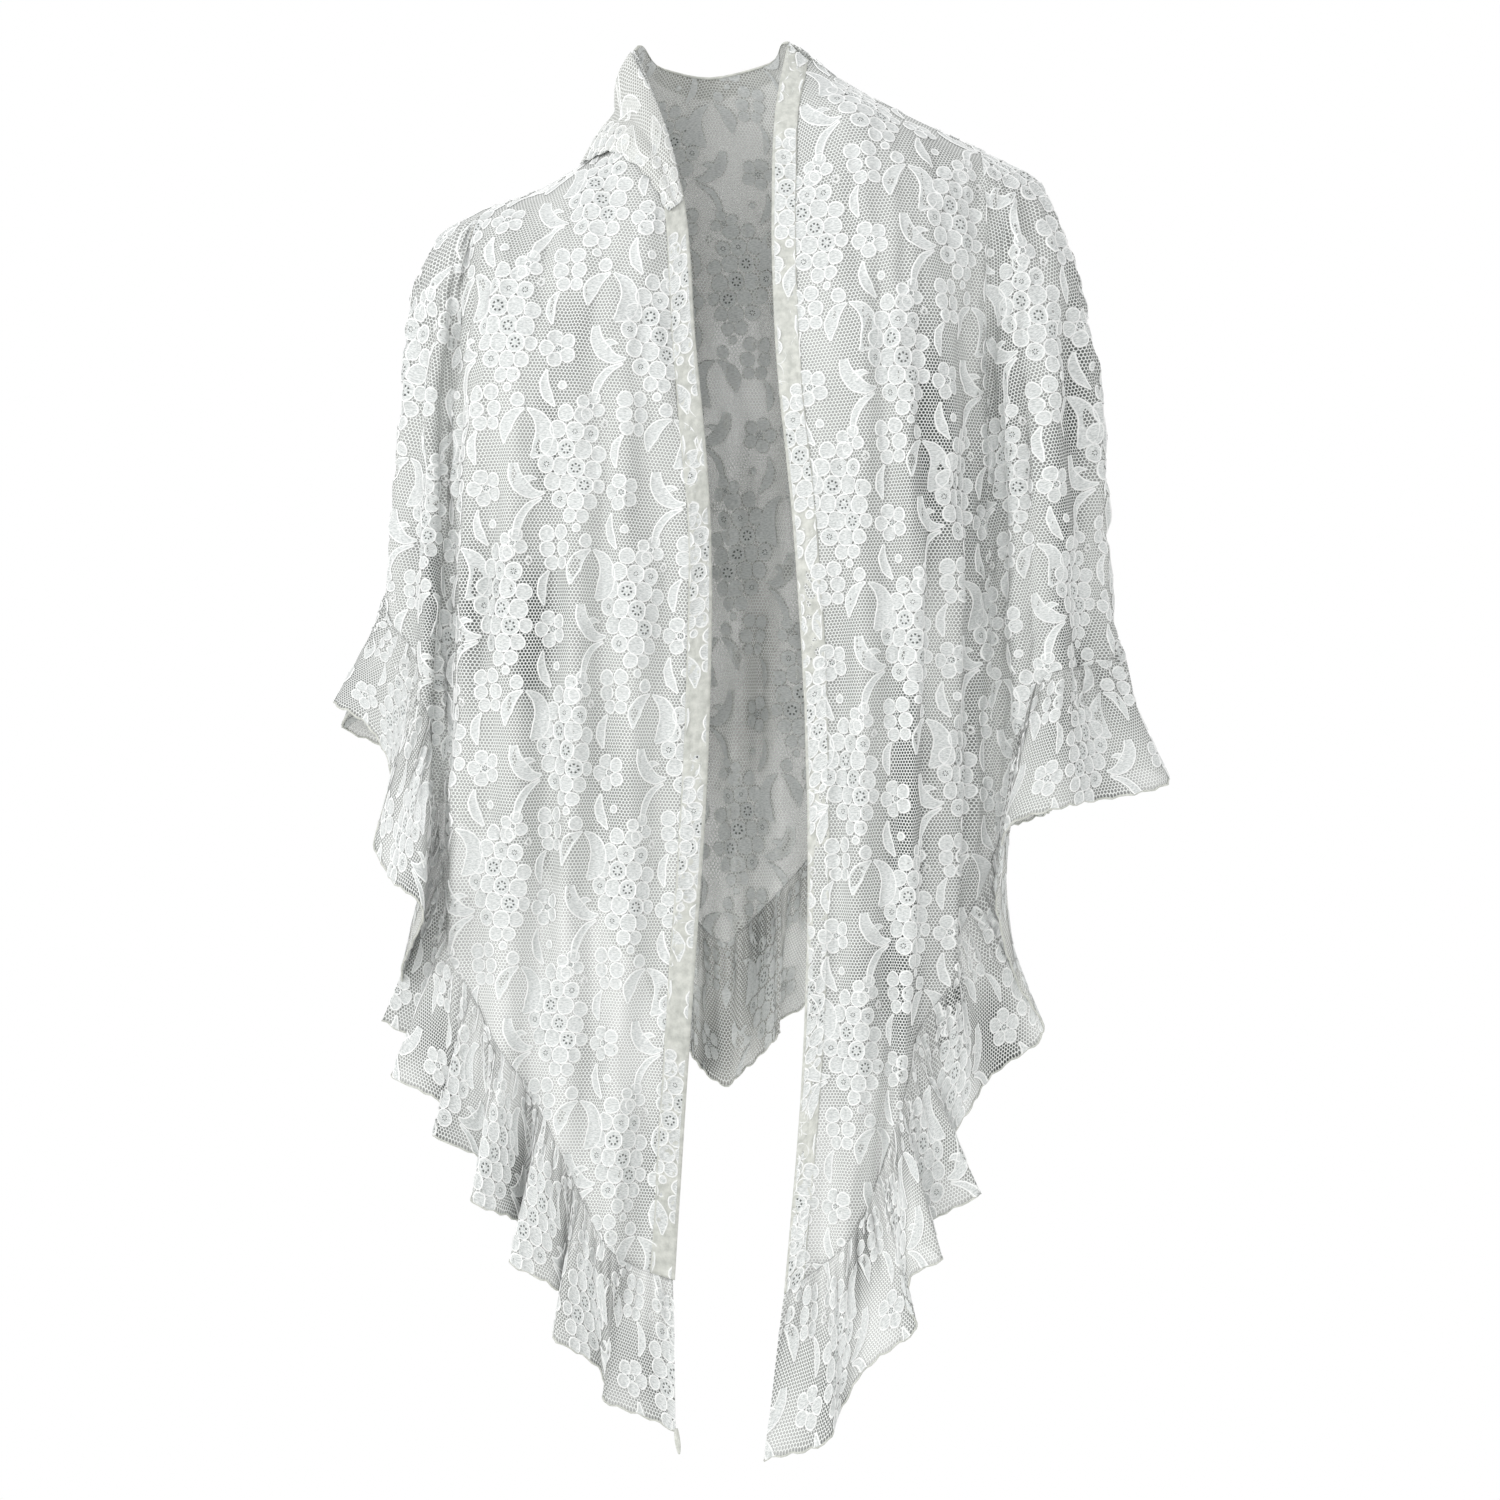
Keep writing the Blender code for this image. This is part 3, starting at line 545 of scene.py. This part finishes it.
def ringFlower(count, ring, r, eye):
    angles = np.arange(count) / count * math.tau + 0.4
    petals = [(ring * math.cos(t), ring * math.sin(t), r) for t in angles]
    return petalCluster([(0, 0, r * 0.75)] + petals, 12, [eye])


def ladderFlower():
    return petalCluster([(-6, -9, 6.4), (6, -9, 6.2), (-7, 2, 6.2), (7, 3, 6.4), (-5, 12, 5.6),
                         (5, 13, 5.4)], 12)


motifs = {
    "bouquet": bouquet(),
    "smallFlower": ringFlower(4, 6.4, 5.4, 2.0),
    "fiveFlower": ringFlower(5, 8.2, 6.2, 2.2),
    "ladderFlower": ladderFlower(),
    "bud": petalCluster([(0, 0, 5.6)], 12),
    "smallBud": petalCluster([(0, 0, 3.6)], 10),
    "leafLeft": ribbonShape([(0, 0), (-8, 5), (-14, 15), (-15, 26)], [2, 9, 12, 2]),
    "leafRight": ribbonShape([(0, 0), (9, 6), (14, 17), (11, 29), (4, 36)], [2, 10, 15, 15, 3]),
    "horn": ribbonShape([(0, 0), (1, 9), (7, 18), (16, 23), (24, 22)], [7, 11, 13, 8, 2]),
    "hornTip": ribbonShape([(7, 14), (13, 11), (18, 12)], [7, 5, 1]),
    "stem": ribbonShape([(20, 0), (10, 6), (3, 16), (0, 28)], [2.4, 6, 7, 5]),
    "sprig": ribbonShape([(0, 0), (-3, 8), (-2, 17), (2, 25)], [2, 7, 8, 2]),
    "curl": ribbonShape([(0, 0), (3.5, 1.5), (4, 5), (1, 6), (-1, 3.5), (1, 1.5)], [1.6] * 5 + [1.4]),
}
repeatChart = [  # motif, across, down, turn in degrees, size
    ("bouquet", -2, 44, 0, 1.0),
    ("ladderFlower", -14, 104, -6, 1.0),
    ("sprig", -20, 122, 12, 1.0),
    ("smallBud", 4, 91, 0, 1.0),
    ("bud", 12, 100, 0, 1.0),
    ("leafLeft", 17, 106, 0, 1.0),
    ("leafRight", 19, 106, 0, 1.0),
    ("horn", 10, 146, 0, 1.0),
    ("hornTip", 10, 146, 0, 1.0),
    ("stem", 12, 172, 0, 1.0),
    ("smallFlower", 10, 205, 0, 1.0),
    ("fiveFlower", -17, 164, 10, 1.0),
    ("sprig", -24, 180, -10, 1.1),
    ("curl", 20, 214, 0, 1.0),
    ("smallBud", -12, 191, 0, 1.0),
]


class Layout:  # finds the place on the worn cloth of any point of the flat one
    def __init__(self, points, normals, flat):
        rows, columns = points.shape[:2]
        quads = gridFaces(rows, columns)
        self.triangles = np.concatenate([quads[:, [0, 1, 2]], quads[:, [0, 2, 3]]])
        self.points, self.normals = points.reshape(-1, 3), normals.reshape(-1, 3)
        self.flat = flat.reshape(-1, 2)
        flat3 = np.concatenate([self.flat, self.flat[:, :1] * 0], axis=1)
        self.tree = BVHTree.FromPolygons([Vector(p) for p in flat3], self.triangles.tolist())

    def place(self, at):
        down = Vector((0, 0, -1))
        hits, inside = np.empty(len(at), dtype=int), np.ones(len(at), dtype=bool)
        spots = np.array(at, float)
        for i, (x, y) in enumerate(at):
            where, _, index, _ = self.tree.ray_cast(Vector((x, y, 1)), down)
            if index is None:
                where, _, index, _ = self.tree.find_nearest(Vector((x, y, 0)))
                spots[i], inside[i] = (where.x, where.y), False
            hits[i] = index
        a, b, c = (self.flat[self.triangles[hits, k]] for k in range(3))
        ab, ac, ap = b - a, c - a, spots - a
        whole = ab[:, 0] * ac[:, 1] - ab[:, 1] * ac[:, 0]
        wb = (ap[:, 0] * ac[:, 1] - ap[:, 1] * ac[:, 0]) / whole
        wc = (ab[:, 0] * ap[:, 1] - ab[:, 1] * ap[:, 0]) / whole
        share = np.stack([1 - wb - wc, wb, wc], axis=1)[..., None]
        found = (self.points[self.triangles[hits]] * share).sum(1)
        facing = (self.normals[self.triangles[hits]] * share).sum(1)
        return found, facing / np.linalg.norm(facing, axis=1)[:, None], inside


def laid(name, place, flat, faces, parts):  # an object of the faces given, without the unused points
    used = np.zeros(len(place), dtype=bool)
    used[[i for f in faces for i in f]] = True
    number = np.cumsum(used) - 1
    uvs = np.concatenate([flat[f] for f in faces])
    made = newMesh(name, place[used] * mm, [[number[i] for i in f] for f in faces], uvs * mm)
    made.data.polygons.foreach_set("material_index", parts)
    print(name, len(faces), "faces", sum(len(f) - 2 for f in faces), "triangles")
    return made


def embroider(name, grid, shift, wrongSide=False):
    # repeats of the chart in half-dropped columns over a grid's points, normals and flat layout, cut off at
    # its edges
    low, high = grid[2].min((0, 1)), grid[2].max((0, 1))
    gap, repeat = lace["columnGap"], lace["repeat"]
    points, heights, faces, parts, total = [], [], [], [], 0
    first = math.floor((low[0] - shift[0]) / gap) - 1
    last = math.ceil((high[0] - shift[0]) / gap) + 1
    for column in range(first, last + 1):
        drop = repeat / 2 * (column % 2) + shift[1]
        top = math.floor((low[1] - drop) / repeat) - 1
        for row in range(top, math.ceil((high[1] - drop) / repeat) + 1):
            for motif, across, downBy, degrees, size in repeatChart:
                shape = motifs[motif]
                angle = math.radians(degrees)
                turned = np.array([[math.cos(angle), math.sin(angle)], [-math.sin(angle), math.cos(angle)]])
                middle = np.array([shift[0] + column * gap + across, drop + row * repeat + downBy])
                if (middle < low - 45).any() or (middle > high + 45).any():
                    continue  # no part of the motif reaches the cloth
                points.append(np.concatenate(shape.points) @ turned * size + middle)
                heights.append(np.concatenate(shape.heights))
                faces += [[total + i for i in f] for f in shape.faces]
                parts += shape.parts
                total += len(points[-1])
    points, heights = np.concatenate(points), np.concatenate(heights)
    found, facing, inside = Layout(*grid).place(points)
    keep = [k for k, f in enumerate(faces) if inside[f].any()]
    worked = [laid(name, found + facing * (heights + lace["lift"])[:, None], points,
                   [faces[k] for k in keep], [parts[k] for k in keep])]
    if wrongSide:  # the same flowers show flat on the wrong side of the net
        keep = [k for k in keep if parts[k] != cordPart]
        worked.append(laid(name + "_inside", found - facing * lace["behind"], points,
                           [faces[k][::-1] for k in keep], [parts[k] for k in keep]))
    for piece in worked:
        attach(piece, "root")
    return worked


bodyWork = []
for n, (name, s) in enumerate(stretches.items()):
    low, high = s["columns"]
    grid = bodyPoints[:, low:high + 1], bodyNormals[:, low:high + 1], s["flat"]
    bodyWork += embroider("worked_" + name, grid, (17 * n, 31 * n), wrongSide=True)
ruffleWork = embroider("worked_ruffle", (rufflePoints, ruffleNormals, ruffleFlat), (0, 20),
                       wrongSide=True)
print("lace worked")


# folded hems: a second layer of lace that closes the net along the free edges
hemBand = {"width": 18.0, "over": 0.95, "crinkle": 0.45, "thickness": 0.5,
           # across from the edge, height in shares of "over": round the edge from behind to the front
           "turn": [(0.5, -1.6), (-0.7, -1.0), (-1.0, 0.1), (-0.3, 0.9), (1.6, 1.05)], "endHeight": 0.55}


def bodyAt(ribNumber, down):  # place and facing on the body, ribs counted from the left front edge
    around = np.interp(ribNumber, np.arange(len(ribKnots)), ribKnots)
    column = np.interp(around, bodyAround, np.arange(len(bodyAround)))
    row = np.interp(down, bodyDown, np.arange(len(bodyDown)))
    r = np.minimum(row.astype(int), len(bodyDown) - 2)
    c = np.minimum(column.astype(int), len(bodyAround) - 2)
    fr, fc = (row - r)[..., None], (column - c)[..., None]
    found = []
    for table in (bodyPoints, bodyNormals):
        found.append((table[r, c] * (1 - fc) + table[r, c + 1] * fc) * (1 - fr)
                     + (table[r + 1, c] * (1 - fc) + table[r + 1, c + 1] * fc) * fr)
    return found[0], found[1] / np.linalg.norm(found[1], axis=-1)[..., None]


def hemStrip(name, edge, inner, facing, node, seed):
    # edge and inner: the free edge of the cloth and a line a hem's width in from it
    band = hemBand
    across = (inner - edge) / np.linalg.norm(inner - edge, axis=1)[:, None]
    profile = band["turn"] + [(w, 1.0) for w in np.linspace(4, band["width"] - 1, 9)]
    profile += [(band["width"], band["endHeight"])]
    rows = []
    for k, (side, height) in enumerate(profile):
        crumple = band["crinkle"] * waves(lengthAlong(edge) / 9, np.full(len(edge), side / 7), seed) * (k > 3)
        rows.append(edge + across * side + facing * (height * band["over"] + crumple)[:, None])
    points = np.array(rows)
    sides = np.array([side for side, _ in profile])
    flat = np.stack(np.broadcast_arrays(sides[:, None], lengthAlong(edge)[None, :]), axis=2)
    made = clothSheet(name, points, gridFaces(*points.shape[:2]), cornerUvs(flat), band["thickness"])
    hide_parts(node)
    normals = gridNormals(points)
    normals *= np.sign((normals[9] * facing).sum(1).mean())
    top = slice(4, len(profile) - 1)
    grid = points[top], normals[top], flat[top]
    return made, embroider("worked_" + name, grid, (9, 20 + 47 * seed))


def frontHem(name, ribName, inward, firstDown, node, seed):
    down = np.linspace(firstDown, 1, 220)
    rib = np.full_like(down, float(ribNames.index(ribName)))
    edge, facing = bodyAt(rib, down)
    step = bodyAt(rib + 0.2 * inward, down)[0] - edge
    inner = bodyAt(rib + 0.2 * inward * hemBand["width"] / np.linalg.norm(step, axis=1), down)[0]
    return hemStrip(name, edge, inner, facing, node, seed)


hems = [frontHem("hem_left", "leftfrontEdge", 1, 0.14, "front_band_left", 31),
        frontHem("hem_right", "rightfrontEdge", -1, 0.004, "front_band_right", 32)]
nape = np.linspace(ribNames.index("leftneckSide"), ribNames.index("rightneckSide"), 90)
edge, facing = bodyAt(nape, np.zeros(90))
hems.append(hemStrip("hem_nape", edge, bodyAt(nape, np.full(90, 0.045))[0], facing, "nape_band", 33))

# the neck edge turned over on the left shoulder, its free edge in scallops
turnedEdge = {
    "rows": 72, "columns": 26, "ribs": 1.45, "firstAcross": 0.02, "thickness": 0.7,
    "lift": 2.2, "billow": 6.0, "scallop": 17.0, "scallopDepth": 2.6,
    # on the back or not, place down the body, share of the full width
    "lines": [(0, .157, .2), (0, .105, .5), (0, .06, .8), (0, .0226, .95), (0, 0, 1.0),
              (1, .0226, .9), (1, .0595, .65), (1, .105, .3)]}


def makeTurnedEdge():
    t = turnedEdge
    neck = ribNames.index("leftneckSide")
    at = np.linspace(t["firstAcross"], 1, t["columns"])
    coarse = []
    for back, down, share in t["lines"]:
        ribNumber = at * share * t["ribs"]
        if back:  # from the nape side outwards, counted back from the neck rib
            ribNumber = neck - ribNumber
        place, facing = bodyAt(ribNumber, np.full(len(at), float(down)))
        lift = t["lift"] + t["billow"] * np.abs(np.sin(math.tau * at)) * share
        coarse.append(place + facing * lift[:, None])
    coarse = np.array(coarse)
    knots = lengthAlong(coarse[:, t["columns"] // 2])
    fine = np.linspace(0, knots[-1], t["rows"])
    grid = np.stack([spline(coarse[:, c], knots, fine) for c in range(t["columns"])], axis=1)
    scallop = t["scallopDepth"] * np.abs(np.sin(math.pi * fine / t["scallop"]))[:, None]
    scallop = scallop * smooth(at, 0.6, 1)[None, :]
    way = np.gradient(grid, axis=1)
    way /= np.maximum(np.linalg.norm(way, axis=2), 1e-6)[..., None]
    grid = grid + way * scallop[..., None]
    across = np.array([lengthAlong(row) for row in grid])
    flat = np.stack([across, np.broadcast_to(fine[:, None], across.shape)], axis=2)
    normals = gridNormals(grid)
    if normals[20:30, 5:20, 1].mean() > 0:  # the part on the front faces forward
        normals = -normals
    return grid, normals, flat


turnedGrid = makeTurnedEdge()
# a little painted shade in the turned edge's holes
turned = clothSheet("turned_neck_edge", turnedGrid[0], gridFaces(*turnedGrid[0].shape[:2]),
                    cornerUvs(turnedGrid[2]), turnedEdge["thickness"], np.full(turnedGrid[0].shape[:2], 0.1))
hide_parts("turned_edge")
turnedWork = embroider("worked_turned_edge", turnedGrid, (8, -60))


def tube(name, path, radii, sides=8):  # a rolled edge or thread along a path
    path, radii = np.asarray(path, float), np.broadcast_to(np.asarray(radii, float), (len(path),))
    way = np.gradient(path, axis=0)
    way /= np.linalg.norm(way, axis=1)[:, None]
    side = np.cross(way, (0.3, 0.2, 1.0))
    side /= np.linalg.norm(side, axis=1)[:, None]
    up = np.cross(side, way)
    turns = np.arange(sides) / sides * math.tau
    rings = path[:, None] + radii[:, None, None] * (side[:, None] * np.cos(turns)[None, :, None]
                                                     + up[:, None] * np.sin(turns)[None, :, None])
    count = len(path)
    faces = []
    for k in range(count - 1):
        for a in range(sides):
            b = (a + 1) % sides
            faces.append([k * sides + a, k * sides + b, (k + 1) * sides + b, (k + 1) * sides + a])
    faces += [list(range(sides))[::-1], [(count - 1) * sides + a for a in range(sides)]]
    lengths = lengthAlong(path)
    uvs = [(lengths[i // sides], (i % sides) * 0.8) for f in faces for i in f]
    made = newMesh(name, rings.reshape(-1, 3) * mm, faces, np.array(uvs) * mm)
    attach(made, "root")
    return made


# the rolled end of the hem at the left tip, and the narrow rolled hem of the ruffle
tipCorner = rufflePoints[-1, 0]
drop = np.linspace(0, 1, 12)
tail = tube("tip_tail_roll", tipCorner + np.stack([2.5 * drop, drop * 0.5, -19.0 * drop + 2], axis=1),
            1.5 + 0.9 * np.sin(drop * 2.6) - 1.2 * drop ** 3)
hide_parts("tip_tail")
ruffleHem = tube("ruffle_hem", rufflePoints[-1] - ruffleNormals[-1] * 0.3, 0.85, 6)
print("hems made")


def colour(hexCode):  # sRGB hex to linear
    parts = [int(hexCode[i:i + 2], 16) / 255 for i in (1, 3, 5)]
    return tuple(p / 12.92 if p <= 0.04045 else ((p + 0.055) / 1.055) ** 2.4 for p in parts) + (1,)


def addNode(tree, kind, settings=None, **links):
    node = tree.nodes.new("ShaderNode" + kind)
    for key, value in (settings or {}).items():
        if hasattr(node, key) and key not in node.inputs:
            setattr(node, key, value)
        else:
            node.inputs[key].default_value = value
    for key, source in links.items():
        slot = int(key[1:]) if key[0] == "i" and key[1:].isdigit() else key.replace("_", " ")
        tree.links.new(source, node.inputs[slot])
    return node


def newMaterial(name, settings):
    made = bpy.data.materials.new(name)
    made.use_nodes = True
    shader = made.node_tree.nodes["Principled BSDF"]
    for key, value in settings.items():
        shader.inputs[key].default_value = value
    return made, made.node_tree, shader


# the holes carry painted shade: a grey tone, blended to a dark, nearly closed tone where the painted shade
# mask is full
netLook = {"cell": 0.0026, "threadFrom": 0.34, "threadFull": 0.44, "shadedHoleAlpha": 0.97,
           "thread": "#DADCDA", "shadedHoleTone": "#3A3E3D"}
halfLattice = (0.5, 0.866, 0.5)  # half a repeat of the six-sided lattice, holes one unit apart


def latticeDistance(tree, scaled, offset):  # distance from the nearest hole of one of the lattice's two sets
    moved = addNode(tree, "VectorMath", {"operation": "ADD"}, i0=scaled.outputs[0])
    moved.inputs[1].default_value = offset
    wrapped = addNode(tree, "VectorMath", {"operation": "WRAP"}, i0=moved.outputs[0])
    wrapped.inputs[1].default_value = halfLattice
    wrapped.inputs[2].default_value = [-h for h in halfLattice]
    found = addNode(tree, "VectorMath", {"operation": "LENGTH"}, i0=wrapped.outputs[0])
    return found.outputs["Value"]


def netMaterial(name, holeAlpha, holeTone):  # bobbinet: six-sided holes, thin twisted threads between, the holes tinted with painted shade
    look = netLook
    made, tree, shader = newMaterial(name, {"Roughness": 0.8})
    place = addNode(tree, "UVMap", {"uv_map": "flatCloth"})
    scaled = addNode(tree, "VectorMath", {"operation": "SCALE", "Scale": 1 / look["cell"]},
                     i0=place.outputs[0])
    one = latticeDistance(tree, scaled, (0, 0, 0))
    two = latticeDistance(tree, scaled, (*halfLattice[:2], 0))
    nearest = addNode(tree, "Math", {"operation": "MINIMUM"}, i0=one, i1=two)
    thread = addNode(tree, "MapRange", Value=nearest.outputs[0],
                     settings={"From Min": look["threadFrom"], "From Max": look["threadFull"]})
    # painted shade mask: blends the hole colour to the dark tone and closes the holes
    shadeMask = addNode(tree, "Attribute", {"attribute_name": "holeShade"})
    hole = addNode(tree, "Mix", {"data_type": "RGBA"}, Factor=shadeMask.outputs["Fac"])
    hole.inputs["A"].default_value = holeTone
    hole.inputs["B"].default_value = colour(look["shadedHoleTone"])
    mix = addNode(tree, "Mix", {"data_type": "RGBA"}, Factor=thread.outputs[0])
    mix.inputs["B"].default_value = colour(look["thread"])
    tree.links.new(hole.outputs["Result"], mix.inputs["A"])
    tree.links.new(mix.outputs["Result"], shader.inputs["Base Color"])
    closed = addNode(tree, "MapRange", {"To Min": holeAlpha, "To Max": look["shadedHoleAlpha"]},
                     Value=shadeMask.outputs["Fac"])
    alpha = addNode(tree, "Math", {"operation": "MAXIMUM"}, i0=closed.outputs[0],
                    i1=thread.outputs[0])
    tree.links.new(alpha.outputs[0], shader.inputs["Alpha"])
    return made


def letLightThrough(tree, shader, share, tone):  # thin thread work glows a little with the light behind it
    behind = addNode(tree, "BsdfTranslucent", {"Color": tone})
    both = addNode(tree, "MixShader", {"Fac": share}, i1=shader.outputs[0], i2=behind.outputs[0])
    tree.links.new(both.outputs[0], tree.nodes["Material Output"].inputs["Surface"])


def mottle(tree, vector, noise, spread, tones):  # a colour that wanders between two tones
    made = addNode(tree, "TexNoise", noise, Vector=vector)
    share = addNode(tree, "MapRange", {"From Min": 0.5 - spread, "From Max": 0.5 + spread},
                    Value=made.outputs["Fac"])
    mix = addNode(tree, "Mix", {"data_type": "RGBA"}, Factor=share.outputs[0])
    mix.inputs["A"].default_value, mix.inputs["B"].default_value = (colour(t) for t in tones)
    return mix.outputs["Result"]


def fillMaterial():  # the worked ground of petals and leaves: close rows of thick thread
    made, tree, shader = newMaterial("workedThread", {"Roughness": 0.75})
    place = addNode(tree, "UVMap", {"uv_map": "flatCloth"})
    stretched = addNode(tree, "Mapping", {"Scale": (380, 1150, 1)}, Vector=place.outputs[0])
    tone = mottle(tree, stretched.outputs[0], {"Scale": 1.0, "Detail": 2.0, "Roughness": 0.6}, 0.12,
                  ("#BBBFBE", "#E8EAE9"))
    tree.links.new(tone, shader.inputs["Base Color"])
    letLightThrough(tree, shader, 0.16, colour("#F6F7F7"))
    return made


def cordMaterial():  # mercerised outlining cord, a little brighter than the rest
    made, tree, shader = newMaterial("outlineCord", {"Base Color": colour("#F3F4F3"), "Roughness": 0.6})
    letLightThrough(tree, shader, 0.12, colour("#F2F4F4"))
    return made


def hemMaterial():  # lace folded double: the second layer closes the net and dulls it, with an ivory cast
    made, tree, shader = newMaterial("foldedLace", {"Roughness": 0.8})
    place = addNode(tree, "UVMap", {"uv_map": "flatCloth"})
    tone = mottle(tree, place.outputs[0], {"Scale": 160.0, "Detail": 3.0, "Roughness": 0.65}, 0.15,
                  ("#C0C2BC", "#E0E1DB"))
    tree.links.new(tone, shader.inputs["Base Color"])
    fine = addNode(tree, "TexNoise", {"Scale": 900.0, "Detail": 2.0}, Vector=place.outputs[0])
    bump = addNode(tree, "Bump", {"Strength": 0.5, "Distance": 0.0005}, Height=fine.outputs["Fac"])
    tree.links.new(bump.outputs[0], shader.inputs["Normal"])
    letLightThrough(tree, shader, 0.25, colour("#E4E6E0"))
    return made


def openMaterial():  # the small holes in flower centres, a few crossing threads over a dark painted shade
    return newMaterial("openwork", {"Base Color": colour("#5A5E5D"), "Alpha": 0.9, "Roughness": 0.9})[0]


# painted shade and light in the holes: grey and fairly closed on the right side of the net, pale and clear on
# the wrong side to brighten the inside
net = netMaterial("bobbinet", 0.66, colour("#AFB1AF"))
netInside = netMaterial("bobbinetWrongSide", 0.12, colour("#E5E4DC"))
fill, cord, openwork, hemLace = fillMaterial(), cordMaterial(), openMaterial(), hemMaterial()
for sheet in (bodyNet, ruffleNet, turned):
    sheet.data.materials[0], sheet.data.materials[1] = net, netInside
for hem, _ in hems:
    hem.data.materials[0], hem.data.materials[1] = hemLace, hemLace
for roll in (tail, ruffleHem):
    roll.data.materials.append(hemLace)
for piece in bodyWork + ruffleWork + turnedWork + [piece for _, work in hems for piece in work]:
    for m in (fill, cord, openwork):
        piece.data.materials.append(m)

# camera, light, floor
view = {"distance": 12.0, "width": 1.11, "centre": (0.009, -0.458)}
lens = bpy.data.cameras.new("camera")
lens.sensor_width = 36
lens.lens = 36 * view["distance"] / view["width"]
camera = bpy.data.objects.new("camera", lens)
camera.location = (view["centre"][0], -view["distance"] - 0.1, view["centre"][1])
camera.rotation_euler = (math.pi / 2, 0, 0)
bpy.context.scene.collection.objects.link(camera)
bpy.context.scene.camera = camera
bpy.context.scene.view_settings.view_transform = "Standard"

world = bpy.data.worlds.new("studio")
bpy.context.scene.world = world
world.use_nodes = True
world.node_tree.nodes["Background"].inputs["Color"].default_value = (1, 1, 1, 1)
world.node_tree.nodes["Background"].inputs["Strength"].default_value = 1.0
lights = [("keyLight", (-2.3, -1.9, 1.3), 1.2, 38), ("backLight", (0.4, 2.4, 0.9), 1.6, 36),
          ("frontLight", (-0.3, -3.6, -0.2), 1.0, 20)]  # name, place, size, watts
for name, place, size, power in lights:
    light = bpy.data.lights.new(name, "AREA")
    light.size, light.energy = size, power
    lamp = bpy.data.objects.new(name, light)
    lamp.location = place
    lamp.rotation_euler = (Vector((0, 0, -0.45)) - Vector(place)).to_track_quat("-Z", "Y").to_euler()
    bpy.context.scene.collection.objects.link(lamp)
bpy.ops.mesh.primitive_circle_add(vertices=96, radius=2.4, fill_type="NGON", location=(0, 0, -1.4))
floor = bpy.context.object
floor.name = "floor"
floor.data.materials.append(newMaterial("paleFloor", {"Base Color": colour("#F2F2F0")})[0])
bpy.context.scene.cycles.transparent_max_bounces = 24
